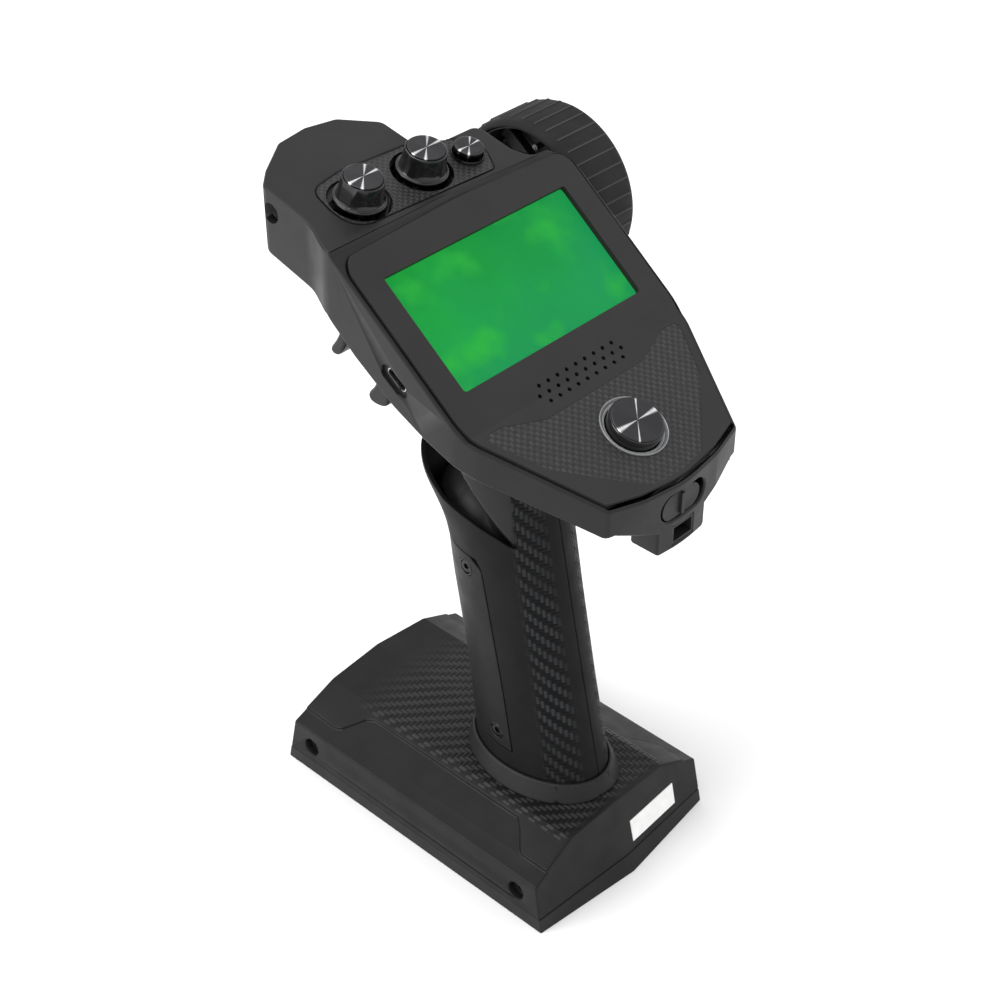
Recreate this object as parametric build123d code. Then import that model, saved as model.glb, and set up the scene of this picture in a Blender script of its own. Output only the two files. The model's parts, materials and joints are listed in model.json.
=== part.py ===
"""Pistol-grip radio transmitter controller, one STEP file per physical piece, in millimetres.

Frame: +X to the user's right (steering wheel side), +Y forward (away from the user), +Z up.
The origin is the centre of the flat underside of the base.
"""
from build123d import *
import os
from math import acos, cos, hypot, radians, sin, tan

os.makedirs("parts", exist_ok=True)

# ---------------------------------------------------------------- driving dimensions
# Base
BASE_HALF_WIDTH = 47.0          # at the table
BASE_HALF_WIDTH_TOP = 45.4
BASE_CORNER_Y = 68.8            # corners at the table
BASE_CORNER_Y_TOP = 62.5
BASE_BOW_Y = 74.0               # middle of the front and rear edges at the table
BASE_BOW_Y_SEAM = 70.3
BASE_BOW_Y_TOP = 64.3
BASE_SEAM_Z = 6.0               # split between the bottom plate and the upper shell
BASE_SIDE_Z = 21.5              # top of the side walls
PLATEAU_HALF_WIDTH = 26.0
PLATEAU_EDGE_Z = 30.6
PLATEAU_MIDDLE_Z = 32.4
STEP_GROOVE = 0.9
BASE_HOLE_Y = 55.3
BASE_HOLE_Z = 12.6
SIDE_HOLE_R = 3.6

# Grip: (height, centre y, half width, half depth)
GRIP_SECTIONS = [
    (30.0, -27.4, 19.8, 29.2),
    (73.5, -20.1, 19.2, 27.0),
    (112.0, -12.9, 19.8, 26.2),
    (150.0, -7.0, 20.6, 24.6),
    (190.0, -4.6, 20.8, 21.6),
]
WRAP_THICKNESS = 2.6
CORE_WALL = 2.2
NECK_WRAP_Y = -24.5             # forward limit of the wrap that climbs to the head
COLLAR_LINE = [(-24.5, 138.4), (-19.0, 141.5), (-8.4, 144.9), (5.0, 147.5), (22.0, 159.5)]

# Head
SCREEN_TILT = 37.6
PALM_TILT = 23.0
KNOB_TILT = 15.0
SCREEN_CENTRE = (0.0, -11.55, 231.9)
PALM_BEND = (-40.07, 209.93)    # y, z where screen face and palm face meet
KNOB_BEND = (17.67, 254.4)      # y, z where screen face and knob face meet
PLATE_HALF_WIDTH = 52.5
PLATE_THICKNESS = 2.2
PLATE_PROUD = 0.7               # how far the plate stands above the case around it
CASE_WALL = 2.3
SCREEN_OPENING = (85.6, 44.6)
LENS_THICKNESS = 1.0
SPEAKER_HOLE_R = 0.75
SPEAKER_PITCH = 4.45
SPEAKER_ROW_PITCH = 3.1
SPEAKER_ROWS = (9, 10, 9)

# Controls
KNOB_PLACES = {"left": (-27.8, 32.0), "centre": (0.5, 31.8)}
KNOB_SKIRT_R = 9.1
KNOB_CAP_R = 6.9
KNOB_HEIGHT = 9.5
KNOB_WELL_R = 10.9
SHAFT_R = 3.0
RUNNING = 0.05                  # radial clearance of a running fit
PUSH_PLACE = (19.9, 29.6)
PUSH_CAP_R = 5.2
PUSH_TRAVEL = 0.8
ROUND_SLOPE_DISTANCE = -25.2    # main round button, down the palm face from the bend
ROUND_RING_R = 11.95
ROUND_CAP_R = 9.6
ROUND_CAP_TOP = 3.6
ROUND_TRAVEL = 0.9
SWITCH_Z = 181.6
SWITCH_SLOT = (22.0, 10.0)
SWITCH_TRAVEL = 2.6
PORT_Z = 170.0
PORT_SIZE = (9.1, 5.5, 8.0)

# Steering wheel, axis along X
WHEEL_CENTRE = (38.0, 220.5)    # y, z
WHEEL_R = 33.0
RIM_THICKNESS = 2.5             # rubber tread over the drum
WHEEL_NEAR_X = 56.0
WHEEL_FAR_X = 81.5
MOUNT_R = 20.0
MOUNT_FAR_X = 60.0

# Trigger, pivot along X
TRIGGER_PIVOT = (47.0, 222.0)   # y, z
TRIGGER_X = (-19.6, 3.6)
TRIGGER_PIN_R = 2.0

# ---------------------------------------------------------------- helpers


def plan_prism(points, low, high):
    """Upright solid from a plan outline of (x, y) points."""
    face = make_face(Polyline(*points, close=True))
    return Pos(0, 0, low) * extrude(face, amount=high - low, dir=(0, 0, 1))


def side_prism(points, x_low, x_high):
    """Solid along X from a side outline of (y, z) points."""
    face = make_face(Polyline(*[(x_low, y, z) for y, z in points], close=True))
    return extrude(face, amount=x_high - x_low, dir=(1, 0, 0))


def front_prism(points, y_low, y_high):
    """Solid along Y from a front outline of (x, z) points."""
    face = make_face(Polyline(*[(x, y_low, z) for x, z in points], close=True))
    return extrude(face, amount=y_high - y_low, dir=(0, 1, 0))


def mirrored(points):
    """Close a right-hand outline with its mirror image in X."""
    return points + [(-point[0],) + point[1:] for point in reversed(points) if point[0] != 0]


def rounded_face(corners, inwards=0.0):
    """Face inside a counter-clockwise outline of (x, y, corner radius), moved inwards."""
    count = len(corners)
    starts, middles, ends = [], [], []
    for index in range(count):
        before, corner, after = (corners[(index + step) % count] for step in (-1, 0, 1))
        length_in = hypot(corner[0] - before[0], corner[1] - before[1])
        length_out = hypot(after[0] - corner[0], after[1] - corner[1])
        way_in = ((corner[0] - before[0]) / length_in, (corner[1] - before[1]) / length_in)
        way_out = ((after[0] - corner[0]) / length_out, (after[1] - corner[1]) / length_out)
        dot = way_in[0] * way_out[0] + way_in[1] * way_out[1]
        left_turn = way_in[0] * way_out[1] - way_in[1] * way_out[0] > 0
        share = inwards / (1 + dot)
        x = corner[0] - (way_in[1] + way_out[1]) * share
        y = corner[1] + (way_in[0] + way_out[0]) * share
        radius = max(corner[2] + (-inwards if left_turn else inwards), 0.2)
        half = acos(dot) / 2
        reach = radius * tan(half)
        rise = radius * (1 / cos(half) - 1)
        bend = (way_out[0] - way_in[0], way_out[1] - way_in[1])
        size = hypot(*bend)
        starts.append((x - way_in[0] * reach, y - way_in[1] * reach))
        middles.append((x + bend[0] / size * rise, y + bend[1] / size * rise))
        ends.append((x + way_out[0] * reach, y + way_out[1] * reach))
    lines = []
    for index in range(count):
        lines.append(ThreePointArc(starts[index], middles[index], ends[index]))
        lines.append(Line(ends[index], starts[(index + 1) % count]))
    return make_face(lines)


def tilted(x, y, z, tilt):
    """Plane whose local x is +X and whose normal leans back to the user by tilt degrees."""
    return Plane(origin=(x, y, z), x_dir=(1, 0, 0),
                 z_dir=(0, -sin(radians(tilt)), cos(radians(tilt))))


def x_rod(y, z, radius, x_low, x_high):
    """Cylinder along X."""
    plane = Plane(origin=(x_low, y, z), x_dir=(0, 1, 0), z_dir=(1, 0, 0))
    return plane * Cylinder(radius, x_high - x_low, align=(Align.CENTER, Align.CENTER, Align.MIN))


def disc(plane, radius, low, high):
    """Cylinder on a plane between two heights above it."""
    return plane * Pos(0, 0, low) * Cylinder(
        radius, high - low, align=(Align.CENTER, Align.CENTER, Align.MIN))


def slab(plane, width, depth, low, high, corner=0.0):
    """Rectangular block on a plane between two heights above it."""
    shape = RectangleRounded(width, depth, corner) if corner else Rectangle(width, depth)
    return plane * Pos(0, 0, low) * extrude(shape, amount=high - low)


def ring(plane, outer, inner, low, high):
    """Washer-like ring on a plane."""
    return disc(plane, outer, low, high) - disc(plane, inner, low - 1, high + 1)


def one(shape):
    """The biggest solid of a result, without slivers."""
    solids = shape.solids()
    return max(solids, key=lambda s: s.volume)


PARTS = {}


def keep(name, *solids):
    """Write one node's solids to its own STEP file."""
    pieces = [s for shape in solids for s in shape.solids()]
    PARTS[name] = pieces
    export_step(Compound(label=name, children=pieces) if len(pieces) > 1 else pieces[0],
                f"parts/{name}.step")


def top_height(y, below=0.0):
    """Height of the head's top face at y, less a depth measured square to the face."""
    def face_z(origin, tilt):
        return origin[1] + (y - origin[0]) * tan(radians(tilt)) - below / cos(radians(tilt))
    palm = face_z(PALM_BEND, PALM_TILT)
    screen = face_z(PALM_BEND, SCREEN_TILT)
    knobs = face_z(KNOB_BEND, KNOB_TILT)
    return min(max(palm, screen), knobs)


def top_outline(y_rear, y_front, below=0.0):
    """Points of the head's top face from rear to front at a depth."""
    def crossing(a, tilt_a, b, tilt_b):
        slope_a, slope_b = tan(radians(tilt_a)), tan(radians(tilt_b))
        za = a[1] - below / cos(radians(tilt_a))
        zb = b[1] - below / cos(radians(tilt_b))
        y = (zb - za - slope_b * b[0] + slope_a * a[0]) / (slope_a - slope_b)
        return (y, za + (y - a[0]) * slope_a)
    bend = crossing(PALM_BEND, PALM_TILT, PALM_BEND, SCREEN_TILT)
    brow = crossing(PALM_BEND, SCREEN_TILT, KNOB_BEND, KNOB_TILT)
    middle = [p for p in (bend, brow) if y_rear < p[0] < y_front]
    return [(y_rear, top_height(y_rear, below))] + middle + [(y_front, top_height(y_front, below))]


def face_plane(x, y, tilt):
    """Plane on the head's top face at (x, y)."""
    return tilted(x, y, top_height(y), tilt)


# ---------------------------------------------------------------- base


def base_block(inset, low, high):
    """Base body between two heights, made smaller by inset on every side."""
    def section(z, half_width, corner_y, bow_y):
        right = [(0, -bow_y + inset), (half_width - inset, -corner_y + inset),
                 (half_width - inset, corner_y - inset), (0, bow_y - inset)]
        return Pos(0, 0, z) * make_face(Polyline(*mirrored(right), close=True))

    def between(a, b, share):
        return a + (b - a) * share
    seam = BASE_SEAM_Z / 34.0
    bottom = section(0.0, BASE_HALF_WIDTH, BASE_CORNER_Y, BASE_BOW_Y)
    middle = section(BASE_SEAM_Z, between(BASE_HALF_WIDTH, BASE_HALF_WIDTH_TOP, seam),
                     between(BASE_CORNER_Y, BASE_CORNER_Y_TOP, seam), BASE_BOW_Y_SEAM)
    top = section(34.0, BASE_HALF_WIDTH_TOP, BASE_CORNER_Y_TOP, BASE_BOW_Y_TOP)
    body = loft([bottom, middle], ruled=True) + loft([middle, top], ruled=True)
    return body & Pos(0, 0, low) * Box(120, 180, high - low, align=(Align.CENTER, Align.CENTER,
                                                                   Align.MIN))


def deck_limit(drop):
    """Everything under the sloped deck, lowered by drop."""
    right = [(0, -5), (60, -5), (60, BASE_SIDE_Z - drop - 6.0),
             (BASE_HALF_WIDTH - 0.9, BASE_SIDE_Z - drop),
             (PLATEAU_HALF_WIDTH, PLATEAU_EDGE_Z - drop), (0, PLATEAU_MIDDLE_Z - drop)]
    return front_prism(mirrored(right), -90, 90)


SHELL_WALL = 2.4
base_outer = base_block(0, BASE_SEAM_Z, 34) & deck_limit(0)
base_inner = base_block(SHELL_WALL, BASE_SEAM_Z - 1, 34) & deck_limit(SHELL_WALL)
raised = mirrored([(0, 80), (39.6, 80), (40.2, 47.5), (39.0, 44.6), (31.4, 38.6), (29.8, 35.0),
                   (29.8, -41.0), (33.2, -45.2), (38.8, -50.4), (39.6, -52.6), (39.6, -80),
                   (0, -80)])
outer_band = plan_prism([(-70, -90), (70, -90), (70, 90), (-70, 90)], 15, 40) \
    - plan_prism(raised, 10, 45)
base_outer = base_outer - (outer_band & (deck_limit(0) - deck_limit(STEP_GROOVE)))

FOOT_LOW = (PLATEAU_MIDDLE_Z - 4.0, 24.4, 34.2)   # height, half width, half depth
FOOT_HIGH = (38.6, 20.9, 30.3)
FOOT_Y = GRIP_SECTIONS[0][1]


def ellipse_at(z, centre_y, half_width, half_depth):
    """Horizontal oval section."""
    return Pos(0, centre_y, z) * Ellipse(half_width, half_depth)


def grip_at(z):
    """Centre and half sizes of the grip at a height, between the listed sections."""
    rows = GRIP_SECTIONS
    for a, b in zip(rows, rows[1:]):
        if z <= b[0]:
            break
    share = (z - a[0]) / (b[0] - a[0])
    return [a[i] + (b[i] - a[i]) * share for i in (1, 2, 3)]


def grip_loft(inset, heights):
    """Smooth oval grip body through several heights."""
    sections = []
    for z in heights:
        centre_y, half_width, half_depth = grip_at(z)
        sections.append(ellipse_at(z, centre_y, half_width - inset, half_depth - inset))
    return loft(sections)


GRIP_HEIGHTS = (28.0, 60.0, 90.0, 120.0, 150.0, 188.0)
grip_outer = grip_loft(0, GRIP_HEIGHTS)
grip_clear = grip_loft(-0.15, (20.0, 60.0, 90.0, 120.0, 150.0, 188.0))
core_outer = grip_loft(WRAP_THICKNESS, (10.0, 60.0, 90.0, 120.0, 150.0, 188.0))
core_bore = grip_loft(WRAP_THICKNESS + CORE_WALL, (5.0, 60.0, 90.0, 120.0, 150.0, 200.0))

foot_ring = loft([ellipse_at(FOOT_LOW[0], FOOT_Y, *FOOT_LOW[1:]),
                  ellipse_at(FOOT_HIGH[0], FOOT_Y + 1.5, *FOOT_HIGH[1:])])
foot_ring = foot_ring - grip_clear - deck_limit(0)

SCREW_HEAD = (2.9, 2.6)         # radius, length
SCREW_SHANK = (1.4, 0.9)
SCREW_HEAD_X = 43.6             # outer face of the side screws' heads
BASE_SCREWS = [(side, y) for side in (-1, 1) for y in (-BASE_HOLE_Y, BASE_HOLE_Y)]
bosses = [Pos(side * 42.2, y, 14) * Box(6, 14, 40) for side, y in BASE_SCREWS]
base_shell = base_outer - (base_inner - sum(bosses, Part()))
for side, y in BASE_SCREWS:
    head_end = SCREW_HEAD_X - SCREW_HEAD[1]
    for radius, near, far in ((SIDE_HOLE_R, SCREW_HEAD_X - 0.6, 57), (SCREW_HEAD[0], head_end, 57),
                              (SCREW_SHANK[0], head_end - SCREW_SHANK[1], 57)):
        low, high = sorted((side * near, side * far))
        base_shell = base_shell - x_rod(y, BASE_HOLE_Z, radius, low, high)
base_shell = base_shell - grip_loft(WRAP_THICKNESS - 0.1, (5.0, 60.0, 90.0))
base_shell = base_shell - grip_clear
keep("base_top_shell", one(base_shell))
keep("grip_foot_ring", one(foot_ring))

foot_places = [(x, y) for x in (-34, 34) for y in (-55, 55)]
PAD_R = 6.0                     # round rubber pads let into the underside
PAD_DEPTH = 1.25
bottom_plate = base_block(0, 0, BASE_SEAM_Z - 0.2)
bottom_plate = bottom_plate - (base_block(2.6, 2.4, BASE_SEAM_Z + 1))
for x, y in foot_places:
    bottom_plate = bottom_plate - disc(Plane((x, y, 0)), PAD_R + 0.2, -1, PAD_DEPTH + 0.05)
for y in (-36.0, 36.0):         # ribs that hold the cells from both ends
    bottom_plate = bottom_plate + slab(Plane((0, y, 0)), 60, 2, 2.0, 11.0)
keep("base_bottom_plate", one(bottom_plate))
keep("base_feet", *[disc(Plane((x, y, 0)), PAD_R, 0, PAD_DEPTH) for x, y in foot_places])


def screw_along_x(x_head, y, z, side, head_r, head_length, shank_r, shank_length):
    """Socket screw whose head faces outwards along X, on side +1 or -1."""
    inwards = -side
    x_end = x_head + inwards * head_length
    x_tip = x_end + inwards * shank_length
    head = x_rod(y, z, head_r, min(x_head, x_end), max(x_head, x_end))
    shank = x_rod(y, z, shank_r, min(x_end, x_tip), max(x_end, x_tip))
    plane = Plane(origin=(x_head, y, z), x_dir=(0, 1, 0), z_dir=(side, 0, 0))
    socket = plane * Pos(0, 0, -head_length * 0.6) * extrude(RegularPolygon(head_r * 0.52, 6), 5)
    return head + shank - socket


keep("base_side_screws", *[screw_along_x(side * SCREW_HEAD_X, y, BASE_HOLE_Z, side, *SCREW_HEAD,
                                         *SCREW_SHANK) for side, y in BASE_SCREWS])

CELL_R = 8.6
keep("battery_cells", *[Pos(x, 0, 12.0) * Rot(90, 0, 0) * Cylinder(CELL_R, 65)
                        for x in (-19.5, 0, 19.5)])

label_tool = Pos(17.6, -68, 14.6) * Rot(0, 0, 6.5) * Box(26.5, 16, 9.4)
label_skin = (base_block(-0.25, BASE_SEAM_Z, 34) - base_block(0.0, BASE_SEAM_Z - 1, 35)) & label_tool
keep("blank_label", one(label_skin))

# ---------------------------------------------------------------- grip

PANEL_LINE = [(-37.0, 0), (-28.4, 47.6), (-13.8, 124.7), (-11.0, 129.0), (10.7, 127.8), (60, 127.8)]
panel_zone = side_prism(PANEL_LINE + [(60, 0)], -40, 40)
panel_zone = panel_zone & (Pos(0, 0, 46.0) * Box(200, 200, 200, align=(Align.CENTER, Align.CENTER,
                                                                    Align.MIN)))
wrap_top = side_prism([(-90, 300), (-90, 150), (NECK_WRAP_Y, 150), (NECK_WRAP_Y, 300)], -60, 60)
wrap_side = side_prism([(-90, 0), (60, 0), (60, 170)] + list(reversed(COLLAR_LINE))
                       + [(NECK_WRAP_Y, 160), (-90, 160)], -60, 60)
skin = grip_outer - core_outer
wrap = (skin & (wrap_side + wrap_top)) - panel_zone
head_clear = side_prism([(-90, 172.0), (-40, 181.0), (-10, 186.0), (60, 186.0), (60, 320),
                         (-90, 320)], -60, 60)
wrap = wrap - head_clear
right_half = Pos(0.04, 0, 0) * Box(100, 400, 800, align=(Align.MIN, Align.CENTER, Align.CENTER))
left_half = Pos(-0.04, 0, 0) * Box(100, 400, 800, align=(Align.MAX, Align.CENTER, Align.CENTER))
panel_skin = (skin & panel_zone) & (grip_outer - grip_loft(WRAP_THICKNESS - 0.05,
                                                             (10.0, 60.0, 90.0, 120.0, 150.0)))

PANEL_SCREWS = [(-5.4, 121.9), (-20.3, 51.9)]
screw_holes = [x_rod(y, z, 2.9, -60, 60) for y, z in PANEL_SCREWS]
for side, half in (("left", left_half), ("right", right_half)):
    keep(f"grip_wrap_{side}", one(wrap & half))
    panel = panel_skin & half
    for hole in screw_holes:
        panel = panel - hole
    keep(f"grip_panel_{side}", one(panel))

neck = loft([ellipse_at(z, y, w, d) for z, y, w, d in
             ((140.0, -8.0, 17.4, 22.0), (160.0, -9.4, 15.6, 18.6), (176.0, -9.0, 16.4, 17.0),
              (190.0, -8.0, 18.6, 16.6))])
horn_outline = [(2, 141.5), (14, 141.5), (23.5, 147.0), (27.4, 150.2), (28.6, 154.6), (27.0, 159.4),
                (22.5, 163.6), (17.0, 166.6), (11.0, 163.8), (4.0, 158.0)]
horn = side_prism(horn_outline, -15.5, 15.5)
horn = horn & (Pos(0, 6.0, 0) * Cylinder(23.0, 400))
CORE_FOOT_Z = 21.5              # the grip's core ends above the cells
core = (core_outer & slab(Plane((0, 0, 0)), 100, 200, CORE_FOOT_Z, 144.5)) + neck + horn
core = core - grip_loft(WRAP_THICKNESS + CORE_WALL, (5.0, 60.0, 90.0, 120.0, 146.0))
core = core - loft([ellipse_at(z, y, w, d) for z, y, w, d in
                    ((139.0, -8.2, 14.8, 19.0), (160.0, -9.4, 12.8, 15.6), (191.0, -8.0, 14.6, 13.0))])
core = core - side_prism([(-90, 186.0), (60, 186.0), (60, 320), (-90, 320)], -60, 60)
for side, half in (("left", left_half), ("right", right_half)):
    shell = core & half
    for y, z in PANEL_SCREWS:
        shell = shell - x_rod(y, z, 1.25, -60, 60)
    shell = shell - wrap - panel_skin
    keep(f"grip_core_{side}", one(shell))


def grip_half_width(y, z):
    """Half width of the grip's outside at a height and depth."""
    centre_y, half_width, half_depth = grip_at(z)
    return half_width * (1 - ((y - centre_y) / half_depth) ** 2) ** 0.5


panel_screws = []
for side in (-1, 1):
    for y, z in PANEL_SCREWS:
        x_head = side * (grip_half_width(y, z) - 0.5)
        panel_screws.append(screw_along_x(x_head, y, z, side, 2.5, 1.5, 1.2, 4.5))
keep("grip_panel_screws", *panel_screws)

# ---------------------------------------------------------------- head cases

HEAD_PLAN = [                   # x, y, corner radius
    (0, -86.2, 60.0), (18.5, -84.2, 30.0), (32.4, -80.8, 2.6), (52.6, -42.6, 20.0),
    (54.6, -35.5, 20.0), (54.6, 17.2, 10.0), (39.0, 17.8, 4.0), (35.6, 23.6, 4.0), (34.6, 39.2, 4.0),
    (8.8, 39.4, 1.5), (7.3, 57.5, 4.0), (-5.3, 66.7, 4.0), (-18.0, 68.6, 4.0), (-31.0, 67.0, 4.0),
    (-44.0, 58.8, 4.0), (-50.2, 53.4, 4.0), (-50.2, 31.4, 14.0), (-54.6, 21.0, 14.0),
    (-54.6, -35.5, 20.0), (-52.6, -42.6, 20.0), (-32.4, -80.8, 2.6), (-18.5, -84.2, 30.0)]
HEAD_FLOOR = [(-90, 181.3), (-79, 181.3), (-39, 197.1), (-22, 202.8), (-9, 208.8), (9.3, 221.0),
              (21.0, 230.6), (54, 240.0), (72, 245.0)]
PLATE_PLAN = mirrored([(0, -84.2, 60.0), (18.2, -82.2, 30.0), (31.4, -78.9, 1.6),
                       (50.8, -42.0, 18.0), (52.5, -35.5, 18.0), (52.5, 15.0, 5.5), (0, 16.4, 30.0)])


def outline_prism(corners, inwards, low, high):
    """Upright solid from a rounded plan outline, moved inwards."""
    return Pos(0, 0, low) * extrude(rounded_face(corners, inwards), amount=high - low,
                                    dir=(0, 0, 1))


def floor_points(lift):
    """Head floor line, lifted."""
    return [(y, z + lift) for y, z in HEAD_FLOOR]


def layer(top_below, floor_lift, x_low=-70, x_high=70):
    """Everything between the lifted floor and the lowered top face."""
    front = HEAD_FLOOR[-1][0]
    rear = HEAD_FLOOR[0][0]
    return side_prism(top_outline(rear, front, top_below) + list(reversed(floor_points(floor_lift))),
                      x_low, x_high)


def shell_top(below):
    """Side solid under the case's own top, which lies a little under the plate's face."""
    front = HEAD_FLOOR[-1][0]
    rear = HEAD_FLOOR[0][0]
    points = top_outline(rear, front, PLATE_PROUD + below)
    points[-1] = (front, top_height(front, below))
    points[-2] = (KNOB_BEND[0], top_height(KNOB_BEND[0], below))
    points.insert(-2, (KNOB_BEND[0] - 1.2, top_height(KNOB_BEND[0] - 1.2, PLATE_PROUD + below)))
    return points


case_body = outline_prism(HEAD_PLAN, 0, 150, 290) & side_prism(
    shell_top(0) + list(reversed(floor_points(0))), -70, 70)
case_void = outline_prism(HEAD_PLAN, CASE_WALL, 140, 300) & side_prism(
    shell_top(CASE_WALL) + [(72, 150), (-90, 150)], -70, 70)
plate_opening = outline_prism(PLATE_PLAN, -0.2, 150, 290) & side_prism(
    [(-95, 150), (19, 150), (19, 290), (-95, 290)], -60, 60)
upper_case = case_body - case_void - plate_opening

INLAY_DEPTH = 0.7
INLAY_PLAN = [(-39.6, 33.0, 9.0), (-39.0, 21.8, 8.0), (22.8, 19.6, 2.6), (27.2, 27.6, 3.0),
              (26.0, 36.0, 4.0), (8.0, 44.0, 6.0), (-24.0, 45.6, 6.0), (-38.0, 43.4, 6.0)]
inlay_prism = outline_prism(INLAY_PLAN, 0, 240, 290)
inlay_layer = side_prism(
    [(y, top_height(y, 0.15)) for y in (17.7, 60)] + [(y, top_height(y, INLAY_DEPTH))
                                                     for y in (60, 17.7)], -60, 60)
inlay_pocket = side_prism(
    [(17.7, 280), (60, 280)] + [(y, top_height(y, INLAY_DEPTH)) for y in (60, 17.7)], -60, 60)
upper_case = upper_case - (inlay_prism & inlay_pocket)

knob_planes = {name: face_plane(x, y, KNOB_TILT) for name, (x, y) in KNOB_PLACES.items()}
push_plane = face_plane(*PUSH_PLACE, KNOB_TILT)
round_y = PALM_BEND[0] + ROUND_SLOPE_DISTANCE * cos(radians(PALM_TILT))
round_plane = face_plane(0, round_y, PALM_TILT)
screen_plane = tilted(*SCREEN_CENTRE, SCREEN_TILT)

# Shallow wells around the knobs, and their shaft holes.
for plane in knob_planes.values():
    upper_case = upper_case - disc(plane, KNOB_WELL_R, -1.6, 5) - disc(plane, 3.6, -9, 0)
upper_case = upper_case - disc(push_plane, 6.0, -9, 5)

# Screw hole in the left side of the front housing, with a boss behind it.
FRONT_SCREW = (50.2, 255.2)
FRONT_HEAD = (2.3, 2.4)
FRONT_SHANK = (1.3, 1.6)
FRONT_HEAD_X = -47.4
upper_case = upper_case + x_rod(*FRONT_SCREW, 3.4, -48.4, -43.4)
upper_case = upper_case - x_rod(*FRONT_SCREW, SIDE_HOLE_R, -60, FRONT_HEAD_X)
upper_case = upper_case - x_rod(*FRONT_SCREW, FRONT_HEAD[0], -60, FRONT_HEAD_X + FRONT_HEAD[1])
upper_case = upper_case - x_rod(*FRONT_SCREW, FRONT_SHANK[0], -60, -43.0)

# Oblong recess for the charging socket on the left wall, in line with the screen face.
USB_CENTRE = (-9.4, 219.2)
usb_plane = Plane(origin=(-54.6, *USB_CENTRE), x_dir=(0, cos(radians(34.2)), sin(radians(34.2))),
                  z_dir=(-1, 0, 0))


def oblong(plane, length, width, low, high):
    """Slot-ended block on a plane."""
    return plane * Pos(0, 0, low) * extrude(SlotOverall(length, width), amount=high - low)


upper_case = upper_case - oblong(usb_plane, 12.9, 5.8, -1.3, 2) - oblong(usb_plane, 9.3, 3.7, -4, 2)

# Chin: end wall with the switch slot and the square port.
chin_outline = mirrored([(0, 164.6), (11.2, 164.6), (12.2, 165.6), (12.2, 173.8), (32.0, 182.4)])
chin_block = front_prism(chin_outline, -95, -73.5) & outline_prism(HEAD_PLAN, 0, 150, 200)
chin_void = front_prism(mirrored([(0, 167.0), (9.6, 167.0), (9.6, 175.2), (27.0, 182.6),
                                   (27.0, 190.0)]), -82.6, -75.6)
slot_plane = Plane(origin=(0, -86.0, SWITCH_Z), x_dir=(1, 0, 0), z_dir=(0, -1, 0))
port_plane = Plane(origin=(0, -86.0, PORT_Z), x_dir=(1, 0, 0), z_dir=(0, -1, 0))
switch_window = oblong(slot_plane, SWITCH_SLOT[0], SWITCH_SLOT[1], -8, 4)
port_window = slab(port_plane, PORT_SIZE[0] + 1.6, PORT_SIZE[1] + 1.6, -12, 4)
upper_case = upper_case - switch_window
chin = chin_block - chin_void - layer(0, 0) - port_window - switch_window

# ---------------------------------------------------------------- lower case
lower_floor = outline_prism(HEAD_PLAN, CASE_WALL + 0.1, 140, 300) & side_prism(
    floor_points(0) + list(reversed(floor_points(2.4))), -70, 70)
housing_outline = [(22.0, 214.0), (28.0, 207.5), (36.0, 209.5), (58.0, 215.0), (64.5, 224.0),
                   (64.5, 243.0), (54.0, 241.0), (22.0, 232.5)]
HOUSING_X = (-26.0, 8.0)
housing = side_prism(housing_outline, *HOUSING_X)
housing_void = side_prism([(25.0, 200.0), (62.0, 200.0), (62.0, 260.0), (25.0, 260.0)],
                          HOUSING_X[0] + 2.6, HOUSING_X[1] - 2.6)
neck_block = side_prism([(-40, 186.1), (12, 186.1), (22, 206), (24.5, 214), (24.5, 234), (9, 223),
                         (-9, 210.6), (-22, 204.8), (-40, 198.8)], -24, 24)
neck_void = side_prism([(-36, 180), (9.5, 180), (19.4, 206), (21.6, 214), (21.6, 240), (-36, 240)],
                       -21.4, 21.4)
neck_floor = side_prism([(-40, 186.1), (12, 186.1), (13.2, 188.6), (-40, 188.6)], -24, 24)
neck_hole = Pos(0, -8.0, 180) * extrude(Ellipse(13.4, 11.8), amount=12)
wheel_body = x_rod(*WHEEL_CENTRE, MOUNT_R, 8.2, MOUNT_FAR_X)
lower_case = lower_floor + housing + neck_block
lower_case = lower_case - housing_void - (neck_void - neck_floor) - neck_hole
lower_case = lower_case - (Pos(0, -78.8, 179) * Box(24, 9.8, 18))
lower_case = lower_case - x_rod(*WHEEL_CENTRE, MOUNT_R + 0.1, 8.1, 70)
lower_case = lower_case - x_rod(*TRIGGER_PIVOT, TRIGGER_PIN_R, -30, 12)
upper_case = upper_case - x_rod(*WHEEL_CENTRE, MOUNT_R + 0.1, 8.1, 70)
upper_case = one(upper_case + one(chin))
keep("head_upper_case", upper_case)
keep("head_lower_case", one(lower_case - upper_case))

# ---------------------------------------------------------------- plate, lens, screen
plate = outline_prism(PLATE_PLAN, 0, 150, 290) & side_prism(
    top_outline(-90, 17.0, 0) + list(reversed(top_outline(-90, 17.0, PLATE_THICKNESS))), -60, 60)
plate = plate - slab(screen_plane, *SCREEN_OPENING, -5, 5, 1.2)
PALM_PLAN = mirrored([(0, -83.0, 60.0), (12.6, -81.6, 3.0), (37.6, -60.8, 4.0), (48.4, -41.5, 2.0),
                      (39.6, -41.5, 4.0), (24.0, -46.8, 4.0)])
PALM_DEPTH = 0.6
palm_pocket = outline_prism(PALM_PLAN, 0, 150, 290) & side_prism(
    [(-90, 290), (-41.2, 290)] + [(y, top_height(y, PALM_DEPTH)) for y in (-41.2, -90)], -60, 60)
palm_layer = outline_prism(PALM_PLAN, 0, 150, 290) & side_prism(
    [(y, top_height(y, 0.12)) for y in (-90, -41.2)]
    + [(y, top_height(y, PALM_DEPTH)) for y in (-41.2, -90)], -60, 60)
plate = plate - palm_pocket
round_hole = disc(round_plane, ROUND_RING_R, -8, 5)
plate = plate - round_hole
palm_inlay = palm_layer - round_hole
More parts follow.
